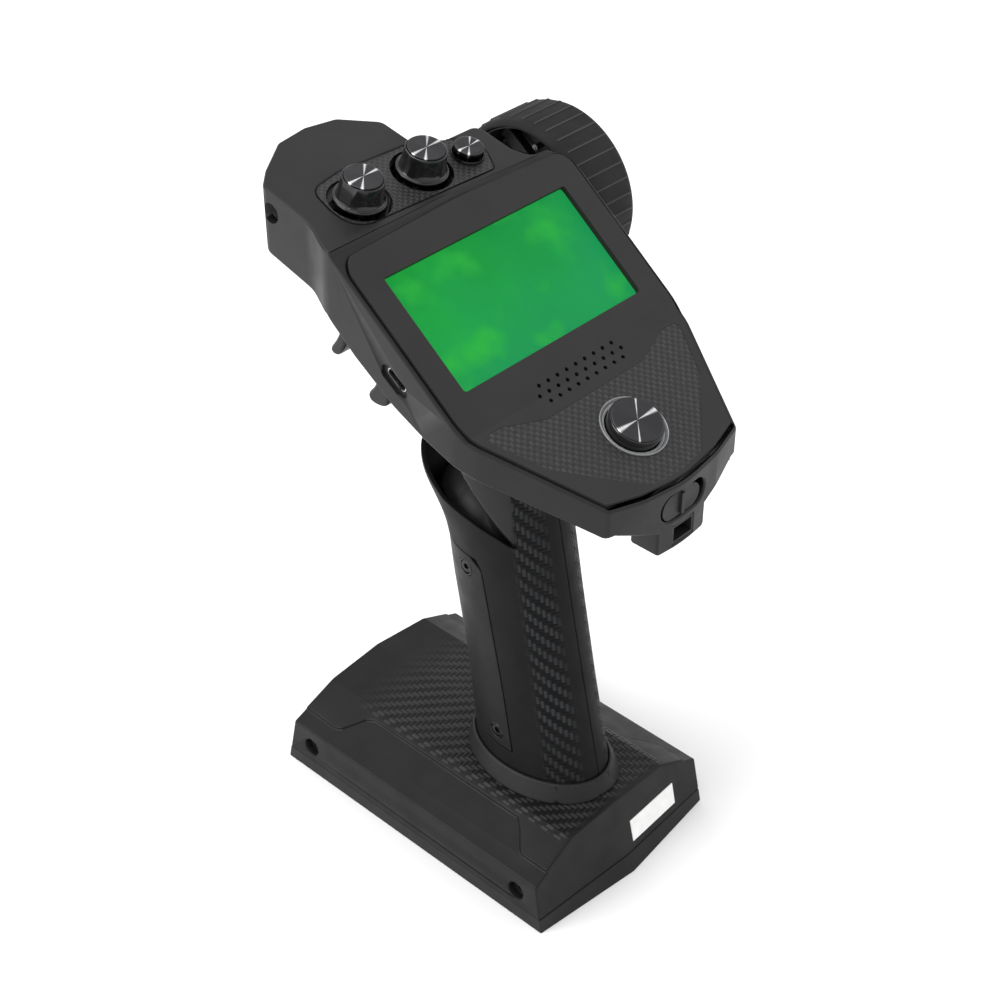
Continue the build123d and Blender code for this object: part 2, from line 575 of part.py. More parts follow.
SPEAKER_CENTRE_V = -35.5
speaker_holes = []
for row, count in enumerate(SPEAKER_ROWS):
    v = SPEAKER_CENTRE_V + (1 - row) * SPEAKER_ROW_PITCH
    for index in range(count):
        u = 0.8 + (index - (count - 1) / 2) * SPEAKER_PITCH
        speaker_holes.append(screen_plane * Pos(u, v, -4) * Cylinder(SPEAKER_HOLE_R, 12))
plate = plate - Compound(children=speaker_holes)
keep("bezel_plate", one(plate))
keep("palm_inlay", one(palm_inlay))
knob_inlay = inlay_prism & inlay_layer
for plane in knob_planes.values():
    knob_inlay = knob_inlay - disc(plane, KNOB_WELL_R, -5, 5)
knob_inlay = knob_inlay - disc(push_plane, 6.0, -5, 5)
keep("knob_inlay", one(knob_inlay))
lens_top = -PLATE_THICKNESS - 0.03
keep("screen_lens", slab(screen_plane, SCREEN_OPENING[0] + 5, SCREEN_OPENING[1] + 5,
                         lens_top - LENS_THICKNESS, lens_top))
lcd_top = lens_top - LENS_THICKNESS - 0.1
keep("screen_module", slab(screen_plane, 94, 51, lcd_top - 4.2, lcd_top))
board_top = lcd_top - 6.0
BOARD_SIZE = (88, 50)
keep("main_board", slab(screen_plane, *BOARD_SIZE, board_top - 1.6, board_top))
keep("board_standoffs", *[screen_plane * Pos(u, v, board_top + 0.9) * Cylinder(2.2, 1.7)
                          for u in (-42, 42) for v in (-22, 22)])
speaker_plane = Plane(origin=(0.8, -41.4, top_height(-41.4)), x_dir=(1, 0, 0),
                      z_dir=(0, -sin(radians(30)), cos(radians(30))))

# ---------------------------------------------------------------- knobs


def knob_body(plane):
    """Flared knob skirt with a pointer flat and a blind bore for the shaft."""
    low, top = 0.35, KNOB_HEIGHT - 0.9
    with BuildPart() as body:
        with BuildSketch(Plane.XZ):
            with BuildLine():
                Polyline((SHAFT_R, low), (KNOB_SKIRT_R, low), (KNOB_SKIRT_R, low + 0.9))
                Spline((KNOB_SKIRT_R, low + 0.9), (KNOB_CAP_R + 0.7, low + 3.2),
                       (KNOB_CAP_R + 0.15, top))
                Polyline((KNOB_CAP_R + 0.15, top), (0, top), (0, top - 2.0), (SHAFT_R, top - 2.0),
                         (SHAFT_R, low))
            make_face()
        revolve(axis=Axis.Z)
    pointer = Pos(0, -(KNOB_CAP_R + 1.15), top / 2 + 1.0) * Rot(9, 0, 0) * Box(4.2, 1.4, 14)
    return plane * (body.part - (pointer & Pos(0, 0, 2.6) * Box(40, 40, 8, align=(
        Align.CENTER, Align.CENTER, Align.MIN))))


knob_sensors = []
for name, plane in knob_planes.items():
    keep(f"knob_{name}_skirt", knob_body(plane))
    keep(f"knob_{name}_cap", disc(plane, KNOB_CAP_R, KNOB_HEIGHT - 0.9, KNOB_HEIGHT))
    keep(f"knob_{name}_shaft", disc(plane, SHAFT_R, -8.0, KNOB_HEIGHT - 2.9))
    sleeve = ring(plane, 3.5, SHAFT_R + RUNNING, -6.0, 0.1)
    can = slab(plane, 11, 11, -9.5, -3.0) - disc(plane, SHAFT_R + RUNNING, -8.1, 0)
    knob_sensors.append(one(sleeve + can))
keep("knob_sensors", *knob_sensors)

# ---------------------------------------------------------------- small push button
keep("push_button_ring", ring(push_plane, 5.95, PUSH_CAP_R + 0.35, -2.2, 0.9))
keep("push_button_cap", disc(push_plane, PUSH_CAP_R, -1.6, 4.0) + disc(push_plane, 1.6, -3.2, -1.6))

# ---------------------------------------------------------------- main round button
keep("round_button_ring", ring(round_plane, ROUND_RING_R - 0.05, ROUND_CAP_R + 1.25, -2.0, 0.55))
keep("round_button_light_ring", ring(round_plane, ROUND_CAP_R + 1.2, ROUND_CAP_R + 0.3, -2.2,
                                     -0.2))
keep("round_button_cap", disc(round_plane, ROUND_CAP_R, -2.0, ROUND_CAP_TOP)
     + disc(round_plane, 2.0, -3.0, -2.0))
SWITCH_TOP = -4.3               # both buttons' switches, below their faces
keep("button_switches", slab(push_plane, 6.2, 6.2, -8.0, SWITCH_TOP),
     slab(round_plane, 12, 12, -6.6, SWITCH_TOP))
keep("control_board", slab(round_plane, 38, 22, -8.1, -6.6))

# ---------------------------------------------------------------- power switch, ports
slider_length = SWITCH_SLOT[0] - SWITCH_TRAVEL - 0.8
slider_plane = Plane(origin=(-SWITCH_TRAVEL / 2, -86.0, SWITCH_Z), x_dir=(1, 0, 0),
                     z_dir=(0, -1, 0))
slider = oblong(slider_plane, slider_length, SWITCH_SLOT[1] - 0.7, -3.4, -0.9)
slider = slider + slab(slider_plane, 1.6, 8.0, -1.2, 0.1) + slab(slider_plane, 5.0, 3.0, -5.2, -3.3)
keep("power_slider", slider)
keep("power_switch_body", slab(Plane(origin=(0, -86.0, SWITCH_Z), x_dir=(1, 0, 0),
                                      z_dir=(0, -1, 0)), 15.0, 5.0, -10.2, -5.7))
socket = slab(port_plane, PORT_SIZE[0] + 1.5, PORT_SIZE[1] + 1.5, -11.0, -0.6)
socket = socket - slab(port_plane, PORT_SIZE[0], PORT_SIZE[1], -PORT_SIZE[2] - 0.6, 2)
keep("square_port", socket)
usb = oblong(usb_plane, 9.1, 3.5, -8.8, -1.4) - oblong(usb_plane, 8.4, 2.8, -7.8, 0)
keep("charging_socket_shell", usb)
keep("charging_socket_tongue", usb_plane * Pos(0, 0, -5.2) * Box(6.6, 0.7, 5.2))

# ---------------------------------------------------------------- steering wheel
cy, cz = WHEEL_CENTRE
wheel_plane = Plane(origin=(0, cy, cz), x_dir=(0, 1, 0), z_dir=(1, 0, 0))


def turned(points):
    """Solid of revolution about the wheel axis from (x, radius) points."""
    profile = make_face(Polyline(*[(x, cy, cz + r) for x, r in points], close=True))
    return revolve(profile, axis=Axis((0, cy, cz), (1, 0, 0)), revolution_arc=360)


DRUM_R = WHEEL_R - RIM_THICKNESS
grip_ring = turned([(WHEEL_NEAR_X, DRUM_R - 0.9), (WHEEL_NEAR_X + 0.8, DRUM_R + 0.7),
                    (WHEEL_NEAR_X + 3.6, WHEEL_R - 0.7), (WHEEL_NEAR_X + 4.6, WHEEL_R),
                    (WHEEL_FAR_X - 1.2, WHEEL_R), (WHEEL_FAR_X, WHEEL_R - 1.6),
                    (WHEEL_FAR_X, DRUM_R), (WHEEL_NEAR_X + 3.0, DRUM_R),
                    (WHEEL_NEAR_X + 1.6, DRUM_R - 0.7)])
keep("wheel_grip", grip_ring)
drum = turned([(WHEEL_NEAR_X + 2.0, DRUM_R - 1.9), (WHEEL_NEAR_X + 3.2, DRUM_R - 0.05),
               (WHEEL_FAR_X - 0.2, DRUM_R - 0.05), (WHEEL_FAR_X - 0.2, DRUM_R - 2.3)])
boss = turned([(68.0, 3.0), (68.0, 8.0), (77.0, 8.0), (77.0, 3.0)])
web = turned([(75.0, 6.0), (75.0, DRUM_R - 1.5), (76.6, DRUM_R - 1.5), (76.6, 6.0)])
spokes = []
for index in range(6):
    spoke = Pos(73.5, 0, 17.9) * Box(4.5, 5.6, 21.8)
    spokes.append(Pos(0, cy, cz) * Rot(index * 60.0 + 8.0, 0, 0) * spoke)
keep("wheel_hub", one(drum + boss + web + spokes))
shaft = x_rod(cy, cz, 3.0, 40.0, 77.0) - x_rod(cy, cz, 1.5, 66.0, 78.0)
keep("wheel_shaft", shaft)
wheel_screw = x_rod(cy, cz, 5.0, 77.0, 79.2) + x_rod(cy, cz, 1.5, 66.2, 77.1)
wheel_screw = wheel_screw - Plane(origin=(79.2, cy, cz), x_dir=(0, 1, 0), z_dir=(1, 0, 0)) \
    * Pos(0, 0, -1.4) * extrude(RegularPolygon(2.0, 6), 3)
keep("wheel_screw", wheel_screw)
PIN_REACH = 22.0
keep("wheel_stop_pin", x_rod(cy - 1.5, cz + PIN_REACH, 1.2, 61.5, 71.2))
BEARING_R = 6.0
mount = wheel_body - x_rod(cy, cz, MOUNT_R - 2.6, 10.8, MOUNT_FAR_X - 6.0)
mount = mount - x_rod(cy, cz, BEARING_R, 50, 70)
mount_back = x_rod(cy, cz, BEARING_R + 2.5, 40.0, MOUNT_FAR_X - 6.0) - x_rod(cy, cz, BEARING_R,
                                                                           30.0, 70)
mount = mount + mount_back
keep("wheel_mount", one(mount))


def bearing(x_low):
    """Plain ball bearing envelope: two races and a shield."""
    return x_rod(cy, cz, BEARING_R, x_low, x_low + 4.0) - x_rod(cy, cz, 3.0 + RUNNING, 0, 90)


keep("wheel_bearings", bearing(MOUNT_FAR_X - 4.4), bearing(41.0))
keep("wheel_return_spring", x_rod(cy, cz, 11.5, 42.0, 50.0) - x_rod(cy, cz, 9.5, 41.0, 51.0))
sensor = x_rod(cy, cz, 9.0, 28.0, 38.5)
keep("wheel_sensor", sensor)

# ---------------------------------------------------------------- trigger
py, pz = TRIGGER_PIVOT
blade_outline = [(41.5, 221.0), (52.0, 221.0), (52.6, 212.0), (53.6, 203.0), (55.4, 195.0),
                 (60.0, 186.4), (59.6, 184.2), (57.4, 183.6), (54.0, 186.6), (51.4, 193.0),
                 (49.4, 200.0), (47.2, 203.4), (43.6, 203.6), (40.4, 200.0), (38.2, 194.0),
                 (36.6, 187.0), (36.8, 181.4), (38.4, 178.4), (41.2, 175.6), (41.4, 173.2),
                 (38.8, 171.8), (34.6, 172.0), (31.6, 174.6), (31.0, 180.0), (31.2, 187.0),
                 (33.0, 196.0), (36.4, 206.0), (39.6, 214.0)]
lever = side_prism(blade_outline, *TRIGGER_X) + x_rod(py, pz, 5.6, *TRIGGER_X)
hollow = side_prism([(33.6, 176.0), (33.0, 186.0), (34.8, 195.0), (37.6, 203.0), (30.0, 203.0),
                     (24.0, 190.0), (24.0, 176.0)], TRIGGER_X[0] + 2.6, TRIGGER_X[1] - 2.6)
lever = lever - x_rod(py, pz, TRIGGER_PIN_R + RUNNING, -40, 40)
keep("trigger_lever", one(lever - hollow))
keep("trigger_pivot_pin", x_rod(py, pz, TRIGGER_PIN_R, -25.6, 7.6))
keep("trigger_return_spring", x_rod(py + 9.0, pz + 6.0, 3.2, -14.0, -4.0)
     - x_rod(py + 9.0, pz + 6.0, 2.2, -15, -3))
keep("trigger_sensor", Pos(-8.0, 47.0, 238.0) * Box(12, 14, 8))

# ---------------------------------------------------------------- speaker, radio, small pieces
keep("speaker", disc(speaker_plane, 11.0, -8.2, -4.4))
keep("radio_module", Pos(-21.0, 48.4, 251.0) * Rot(KNOB_TILT, 0, 0) * Box(30, 18, 3.4))
keep("antenna_board", Pos(-20.0, 61.6, 254.0) * Box(22, 1.2, 12))
keep("front_housing_screw", screw_along_x(FRONT_HEAD_X, *FRONT_SCREW, -1, *FRONT_HEAD, *FRONT_SHANK))

for name, pieces in sorted(PARTS.items()):
    print(name, len(pieces))
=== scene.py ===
"""Visual model of the pistol-grip radio transmitter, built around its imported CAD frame."""
import json
from math import asin, atan2, cos, pi, radians, sin, sqrt

import bmesh
import bpy
from mathutils import Matrix, Vector

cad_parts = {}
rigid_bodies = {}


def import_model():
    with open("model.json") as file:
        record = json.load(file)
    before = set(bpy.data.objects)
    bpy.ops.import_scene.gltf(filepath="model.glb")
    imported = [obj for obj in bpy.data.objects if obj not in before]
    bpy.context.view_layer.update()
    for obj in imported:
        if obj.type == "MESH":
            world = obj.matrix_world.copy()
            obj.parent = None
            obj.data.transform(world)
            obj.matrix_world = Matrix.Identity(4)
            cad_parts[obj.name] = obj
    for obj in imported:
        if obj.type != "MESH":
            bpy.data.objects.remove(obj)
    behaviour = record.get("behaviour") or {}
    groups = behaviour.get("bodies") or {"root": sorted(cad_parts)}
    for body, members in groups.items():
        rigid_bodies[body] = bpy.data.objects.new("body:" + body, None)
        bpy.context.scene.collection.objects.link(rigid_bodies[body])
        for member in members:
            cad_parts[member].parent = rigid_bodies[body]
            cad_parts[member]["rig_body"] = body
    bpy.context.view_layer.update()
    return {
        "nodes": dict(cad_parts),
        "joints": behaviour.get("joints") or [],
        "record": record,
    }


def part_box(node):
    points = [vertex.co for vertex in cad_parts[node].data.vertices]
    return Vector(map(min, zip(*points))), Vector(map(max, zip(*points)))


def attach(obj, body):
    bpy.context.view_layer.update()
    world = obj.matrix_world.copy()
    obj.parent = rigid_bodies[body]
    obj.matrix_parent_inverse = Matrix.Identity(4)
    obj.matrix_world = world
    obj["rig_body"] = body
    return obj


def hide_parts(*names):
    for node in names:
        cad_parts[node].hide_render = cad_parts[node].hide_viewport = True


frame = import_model()
MM = 0.001
JOINTS = {joint["name"]: joint for joint in frame["joints"]}

# ---------------------------------------------------------------- stage and camera
CAMERA_PLACE = Vector((-0.41058, -0.38866, 0.55839))
CAMERA_AZIMUTH = radians(46.875)
CAMERA_ELEVATION = radians(36.613)
LENS = 70.68
SENSOR = 36.0
LIGHT_TARGET = Vector((0, 0, 0.15))
WORLD_STRENGTH = 0.95
FLOOR_HALF = 6.0
# (name, place in metres, side in metres, power in watts)
SOFTBOXES = [("softbox_top", (-0.1, 0.2, 1.3), 1.0, 6.5),
             ("softbox_left", (-1.2, 0.5, 0.7), 0.9, 13.0),
             ("softbox_right", (1.1, -0.6, 0.6), 0.8, 2.0)]


def look(obj, direction):
    """Turn a camera or light towards a direction."""
    obj.rotation_euler = Vector(direction).to_track_quat("-Z", "Y").to_euler()


def add_camera():
    """The camera, at the place and angle of the reference view."""
    camera = bpy.data.objects.new("camera", bpy.data.cameras.new("camera"))
    camera.data.lens = LENS
    camera.data.sensor_width = SENSOR
    camera.data.clip_start = 0.01
    camera.location = CAMERA_PLACE
    level = cos(CAMERA_ELEVATION)
    look(camera, (sin(CAMERA_AZIMUTH) * level, cos(CAMERA_AZIMUTH) * level, -sin(CAMERA_ELEVATION)))
    bpy.context.scene.collection.objects.link(camera)
    bpy.context.scene.camera = camera


def add_softbox(name, place, size, power):
    """A square studio light aimed at the middle of the object."""
    light = bpy.data.lights.new(name, "AREA")
    light.size = size
    light.energy = power
    lamp = bpy.data.objects.new(name, light)
    lamp.location = place
    look(lamp, LIGHT_TARGET - Vector(place))
    bpy.context.scene.collection.objects.link(lamp)


def add_stage():
    """Pale floor, pale surroundings and soft lights."""
    world = bpy.data.worlds.new("studio")
    world.use_nodes = True
    world.node_tree.nodes["Background"].inputs["Color"].default_value = (1.0, 1.0, 1.0, 1)
    world.node_tree.nodes["Background"].inputs["Strength"].default_value = WORLD_STRENGTH
    bpy.context.scene.world = world
    bpy.context.scene.view_settings.view_transform = "Standard"
    for row in SOFTBOXES:
        add_softbox(*row)
    mesh = bpy.data.meshes.new("floor")
    bm = bmesh.new()
    bmesh.ops.create_grid(bm, x_segments=2, y_segments=2, size=FLOOR_HALF)
    bm.to_mesh(mesh)
    bm.free()
    floor = bpy.data.objects.new("floor", mesh)
    paint = Paint("floor_white", Roughness=0.9)
    paint.colour((0.92, 0.92, 0.92), (0.95, 0.95, 0.95), paint.noise(3.0))
    mesh.materials.append(paint.material)
    bpy.context.scene.collection.objects.link(floor)


# ---------------------------------------------------------------- materials


class Paint:
    """A procedural material under construction, in the object's own coordinates."""

    def __init__(self, name, **sockets):
        self.material = bpy.data.materials.new(name)
        self.material.use_nodes = True
        self.tree = self.material.node_tree
        self.shader = self.tree.nodes["Principled BSDF"]
        self.place = self.node("ShaderNodeTexCoord").outputs["Object"]
        for socket, value in sockets.items():
            self.shader.inputs[socket.replace("_", " ")].default_value = value

    def node(self, kind, **settings):
        """A new shader node with its settings."""
        made = self.tree.nodes.new(kind)
        for key, value in settings.items():
            setattr(made, key, value)
        return made

    def feed(self, socket, value):
        """Link an output, or set a plain number, on a socket."""
        if hasattr(value, "is_linked"):
            self.tree.links.new(value, socket)
        else:
            socket.default_value = value

    def math(self, operation, *values):
        """Result of a sum on outputs or plain numbers."""
        made = self.node("ShaderNodeMath", operation=operation)
        for socket, value in zip(made.inputs, values):
            self.feed(socket, value)
        return made.outputs[0]

    def axes(self, place=None):
        """The three coordinates of a place."""
        made = self.node("ShaderNodeSeparateXYZ")
        self.feed(made.inputs[0], self.place if place is None else place)
        return made.outputs

    def turned(self, angle_x, origin=(0, 0, 0)):
        """Coordinates about an origin on a face that is tilted about X."""
        made = self.node("ShaderNodeMapping", vector_type="TEXTURE")
        made.inputs["Location"].default_value = origin
        made.inputs["Rotation"].default_value = (angle_x, 0, 0)
        self.feed(made.inputs["Vector"], self.place)
        return made.outputs[0]

    def noise(self, scale, detail=3.0):
        """Soft random pattern, from 0 to 1."""
        made = self.node("ShaderNodeTexNoise")
        made.inputs["Scale"].default_value = scale
        made.inputs["Detail"].default_value = detail
        self.feed(made.inputs["Vector"], self.place)
        return made.outputs["Fac"]

    def remap(self, value, low, high, to_low=0.0, to_high=1.0, smooth=False):
        """Map a value from one range to another, held at the ends."""
        made = self.node("ShaderNodeMapRange", interpolation_type="SMOOTHSTEP" if smooth else "LINEAR")
        for name, number in (("From Min", low), ("From Max", high), ("To Min", to_low),
                             ("To Max", to_high)):
            made.inputs[name].default_value = number
        self.feed(made.inputs["Value"], value)
        return made.outputs[0]

    def blend(self, share, first, second):
        """Colour between two colours by a share."""
        made = self.node("ShaderNodeMix", data_type="RGBA")
        self.feed(made.inputs[0], share)
        for socket, value in ((made.inputs[6], first), (made.inputs[7], second)):
            self.feed(socket, (*value, 1.0) if isinstance(value, tuple) else value)
        return made.outputs[2]

    def colour(self, first, second, share):
        """Base colour between two colours."""
        self.feed(self.shader.inputs["Base Color"], self.blend(share, first, second))

    def roughness(self, low, high, share):
        """Roughness between two values by a noise."""
        self.feed(self.shader.inputs["Roughness"], self.remap(share, 0.3, 0.7, low, high))

    def bump(self, height, distance, strength=1.0):
        """Relief in metres on top of any bump so far."""
        made = self.node("ShaderNodeBump")
        made.inputs["Strength"].default_value = strength
        made.inputs["Distance"].default_value = distance
        self.feed(made.inputs["Height"], height)
        normal = self.shader.inputs["Normal"]
        if normal.is_linked:
            self.tree.links.new(normal.links[0].from_socket, made.inputs["Normal"])
        self.tree.links.new(made.outputs[0], normal)

    def twill(self, u, v, cell, repeat=4.0):
        """Woven tows (two-over-two, or plain for a repeat of 2): which is on top, and its height."""
        across = self.math("DIVIDE", u, cell)
        along = self.math("DIVIDE", v, cell)
        column, row = self.math("FLOOR", across), self.math("FLOOR", along)
        step = self.math("FLOORED_MODULO", self.math("ADD", column, row), repeat)
        warp = self.math("LESS_THAN", step, repeat / 2 - 0.5)
        crown_u = self.math("SINE", self.math("MULTIPLY", self.math("FRACT", across), pi))
        crown_v = self.math("SINE", self.math("MULTIPLY", self.math("FRACT", along), pi))
        made = self.node("ShaderNodeMix", data_type="FLOAT")
        self.feed(made.inputs[0], warp)
        self.feed(made.inputs[2], crown_v)
        self.feed(made.inputs[3], crown_u)
        return warp, made.outputs[0]


DARK = (0.0150, 0.0147, 0.0148)
DARKER = (0.0108, 0.0107, 0.0109)
BASE_LOW = (0.0066, 0.0065, 0.0067)
BASE_HIGH = (0.0096, 0.0094, 0.0095)
SHEEN = 0.22                    # how strongly moulded plastic reflects
RING_PITCH = 0.00022            # between the turned circles of spun metal, in metres
TRACK_PITCH = 0.0016            # between circuit board tracks, in metres


def moulded(name, low, high, rough=(0.42, 0.55), grain=2600.0, relief=0.00003, **sockets):
    """Moulded black plastic: faint mottling, rubbed patches and a fine spark-eroded grain."""
    sockets.setdefault("Specular_IOR_Level", SHEEN)
    paint = Paint(name, **sockets)
    mottle = paint.noise(45.0, 4.0)
    paint.colour(low, high, paint.remap(mottle, 0.3, 0.7))
    paint.roughness(*rough, paint.noise(120.0, 5.0))
    paint.bump(paint.noise(grain, 2.0), relief, 0.5)
    return paint


def inlay_paint(name, tilt, cell, bright):
    """Carbon film on a sloped flat face."""
    paint = Paint(name, Roughness=0.34, Specular_IOR_Level=0.3)
    x, y, _ = paint.axes(paint.turned(tilt))
    paint.roughness(0.3, 0.42, paint.noise(150.0))
    warp, height = paint.twill(x, y, cell * MM, 2.0)
    fleck = paint.remap(paint.noise(500.0, 3.0), 0.35, 0.65, 0.4, 1.0)
    shade = paint.math("MULTIPLY", paint.math("MULTIPLY", warp, height), fleck)
    paint.colour((0.0138, 0.0133, 0.0134), bright, shade)
    paint.bump(height, 0.00012, 0.7)
    return paint.material


def deck_paint():
    """Base shell: plain plastic with the woven relief on the raised deck beside the grip."""
    paint = moulded("base_deck", BASE_LOW, BASE_HIGH, Specular_IOR_Level=0.18)
    x, y, z = paint.axes()
    warp, height = paint.twill(x, y, 1.6 * MM)
    lane = paint.remap(paint.math("ABSOLUTE", x), 0.0275, 0.0295, 1.0, 0.0, smooth=True)
    deck = paint.remap(z, 0.0245, 0.0265, smooth=True)
    rear = paint.remap(y, -0.064, -0.060, smooth=True)
    front = paint.remap(y, 0.030, 0.052, 1.0, 0.0, smooth=True)
    mask = paint.math("MULTIPLY", paint.math("MULTIPLY", lane, deck),
                      paint.math("MULTIPLY", rear, front))
    mottle = paint.remap(paint.noise(45.0, 4.0), 0.3, 0.7)
    plain = paint.blend(mottle, BASE_LOW, BASE_HIGH)
    weave = paint.blend(paint.math("MULTIPLY", warp, height), (0.007, 0.007, 0.007),
                        (0.030, 0.030, 0.031))
    paint.feed(paint.shader.inputs["Base Color"], paint.blend(mask, plain, weave))
    paint.bump(paint.math("MULTIPLY", height, mask), 0.00022, 0.9)
    return paint.material


def grip_paint():
    """Grip wrap: satin rubber with a woven band down each rear flank."""
    paint = moulded("grip_wrap_rubber", DARKER, DARK, rough=(0.46, 0.6), Specular_IOR_Level=0.1)
    x, y, z = paint.axes()
    centre = paint.remap(z, 0.030, 0.150, -0.0275, -0.0070)
    turn = paint.math("ARCTAN2", x, paint.math("SUBTRACT", centre, y))
    around = paint.math("MULTIPLY", turn, 0.0225)
    warp, height = paint.twill(around, z, 1.55 * MM)
    spread = paint.math("ABSOLUTE", around)
    inner = paint.remap(spread, 0.0035, 0.0075, smooth=True)
    outer = paint.remap(spread, 0.0155, 0.0185, 1.0, 0.0, smooth=True)
    patch = paint.remap(paint.noise(55.0, 2.0), 0.3, 0.55, 0.55, 1.0)
    mask = paint.math("MULTIPLY", paint.math("MULTIPLY", inner, outer), patch)
    mottle = paint.remap(paint.noise(45.0, 4.0), 0.3, 0.7)
    plain = paint.blend(mottle, (0.0058, 0.0058, 0.0060), (0.0086, 0.0086, 0.0088))
    weave = paint.blend(paint.math("MULTIPLY", warp, height), (0.0045, 0.0045, 0.005),
                        (0.026, 0.0275, 0.030))
    paint.feed(paint.shader.inputs["Base Color"], paint.blend(mask, plain, weave))
    paint.bump(paint.math("MULTIPLY", height, mask), 0.00028, 0.9)
    return paint.material


def spun_paint(name, centre, tilt, highlight_rays):
    """Lathe-turned dark metal: fine circles, and soft bright rays across the face, painted into the base
    colour as a painted highlight for the lights' reflection in the turned metal.
    """
    paint = Paint(name, Metallic=1.0, Roughness=0.3, Anisotropic=0.75)
    place = paint.turned(tilt, centre)
    x, y, _ = paint.axes(place)
    radius = paint.math("SQRT", paint.math("ADD", paint.math("MULTIPLY", x, x),
                                           paint.math("MULTIPLY", y, y)))
    rings = paint.math("SINE", paint.math("MULTIPLY", radius, 2 * pi / RING_PITCH))
    rays = 0.0
    for angle, width in highlight_rays:
        turn = paint.math("ARCTAN2", y, x)
        away = paint.math("ABSOLUTE", paint.math("SINE", paint.math("SUBTRACT", turn, angle)))
        ray = paint.remap(away, 0.0, width, 1.0, 0.0, smooth=True)
        rays = paint.math("MAXIMUM", ray, rays)
    # painted highlight: the bright rays are colour standing in for the reflection of the lights
    painted_highlight = paint.math("MULTIPLY", paint.remap(paint.noise(400.0), 0.3, 0.7, 0.75, 1.0), rays)
    paint.colour((0.045, 0.045, 0.048), (0.85, 0.85, 0.86), painted_highlight)
    paint.roughness(0.26, 0.38, paint.noise(300.0))
    paint.bump(rings, 0.00001, 0.6)
    return paint.material


def metal_paint(name, low, high, rough):
    """Plain metal with fine scratches."""
    paint = Paint(name, Metallic=1.0)
    paint.colour(low, high, paint.remap(paint.noise(180.0, 4.0), 0.3, 0.7))
    paint.roughness(*rough, paint.noise(420.0, 4.0))
    paint.bump(paint.noise(900.0, 2.0), 0.00001, 0.5)
    return paint.material


def screen_paint():
    """Lit green display with cloudy bands of brighter and bluer green."""
    paint = Paint("display_lit", Roughness=0.5)
    cloud = paint.remap(paint.noise(26.0, 4.0), 0.35, 0.68)
    patch = paint.remap(paint.noise(11.0, 2.0), 0.4, 0.65)
    streak = paint.remap(paint.noise(60.0, 5.0), 0.52, 0.72, 0.0, 0.8)
    green = paint.blend(cloud, (0.010, 0.33, 0.045), (0.016, 0.44, 0.060))
    paint.feed(paint.shader.inputs["Base Color"], (0.0, 0.02, 0.005, 1.0))
    paint.shader.inputs["Specular IOR Level"].default_value = 0.05
    teal = paint.blend(paint.math("MULTIPLY", patch, 0.8), green, (0.016, 0.35, 0.125))
    glow = paint.blend(streak, teal, (0.035, 0.55, 0.060))
    paint.feed(paint.shader.inputs["Emission Color"], glow)
    paint.shader.inputs["Emission Strength"].default_value = 1.0
    return paint.material


def simple_paint(name, low, high, rough, grain, relief, **sockets):
    """Material of a moulded finish with nothing added."""
    return moulded(name, low, high, rough, grain, relief, **sockets).material


def board_paint():
    """Circuit board: solder mask with a faint grid of tracks."""
    paint = Paint("circuit_board", Roughness=0.35)
    x, y, z = paint.axes()
    track = paint.math("SINE", paint.math("MULTIPLY", paint.math("ADD", x, z), 2 * pi / TRACK_PITCH))
    paint.colour((0.01, 0.10, 0.04), (0.03, 0.2, 0.08), paint.remap(track, 0.6, 0.9))
    paint.bump(track, 0.00002, 0.5)
    return paint.material


def label_paint():
    """Blank paper sticker, very slightly fibrous and soiled."""
    paint = Paint("label_paper", Roughness=0.6)
    paint.colour((0.80, 0.80, 0.79), (0.9, 0.9, 0.89), paint.remap(paint.noise(220.0, 5.0), 0.3, 0.7))
    paint.bump(paint.noise(4000.0), 0.00001, 0.4)
    return paint.material


PALM_TILT = radians(23.0)
KNOB_TILT = radians(15.0)
SCREEN_TILT = radians(37.6)

# ---------------------------------------------------------------- mesh helpers


def finish_piece(name, bm, paint, body, replaced=(), smooth=35.0):
    """Turn a bmesh into a piece that rides on a body."""
    bmesh.ops.recalc_face_normals(bm, faces=bm.faces)
    mesh = bpy.data.meshes.new(name)
    bm.to_mesh(mesh)
    bm.free()
    mesh.materials.append(paint)
    mesh.shade_smooth()
    mesh.set_sharp_from_angle(angle=radians(smooth))
    piece = bpy.data.objects.new(name, mesh)
    bpy.context.scene.collection.objects.link(piece)
    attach(piece, body)
    if replaced:
        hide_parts(*replaced)
    return piece


def add_bevel(piece, width, segments=3, angle=30.0):
    """Round a piece's sharp edges."""
    bevel = piece.modifiers.new("rounded_edges", "BEVEL")
    bevel.width = width * MM
    bevel.segments = segments
    bevel.limit_method = "ANGLE"
    bevel.angle_limit = radians(angle)
    bevel.use_clamp_overlap = False
    bevel.harden_normals = True
    return bevel


def softened(node, paint, width, segments=3, angle=32.0, share=None):
    """A copy of a CAD node with rounded edges, which stands for the node.

    share(edge) says how much of the width each sharp edge gets.
    """
    source = frame["nodes"][node]
    bm = bmesh.new()
    bm.from_mesh(source.data)
    bmesh.ops.remove_doubles(bm, verts=bm.verts, dist=0.002 * MM)
    bmesh.ops.dissolve_limit(bm, angle_limit=radians(0.6), verts=bm.verts, edges=bm.edges)
    bmesh.ops.recalc_face_normals(bm, faces=bm.faces)
    if share:
        weights = bm.edges.layers.float.new("bevel_weight_edge")
        for edge in bm.edges:
            if len(edge.link_faces) == 2 and edge.calc_face_angle() > radians(angle):
                edge[weights] = share(edge)
    piece = finish_piece(f"{node}_shell", bm, paint, source["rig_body"], (node,), 40.0)
    bevel = add_bevel(piece, width, segments, angle)
    if share:
        bevel.limit_method = "WEIGHT"


def middle(edge):
    """Middle of an edge in millimetres."""
    return (edge.verts[0].co + edge.verts[1].co) / 2 / MM


def near_any(place, spots):
    """Whether a place lies in any of several (centre, radius) balls, in millimetres."""
    return any((place - Vector(centre)).length < radius for centre, radius in spots)


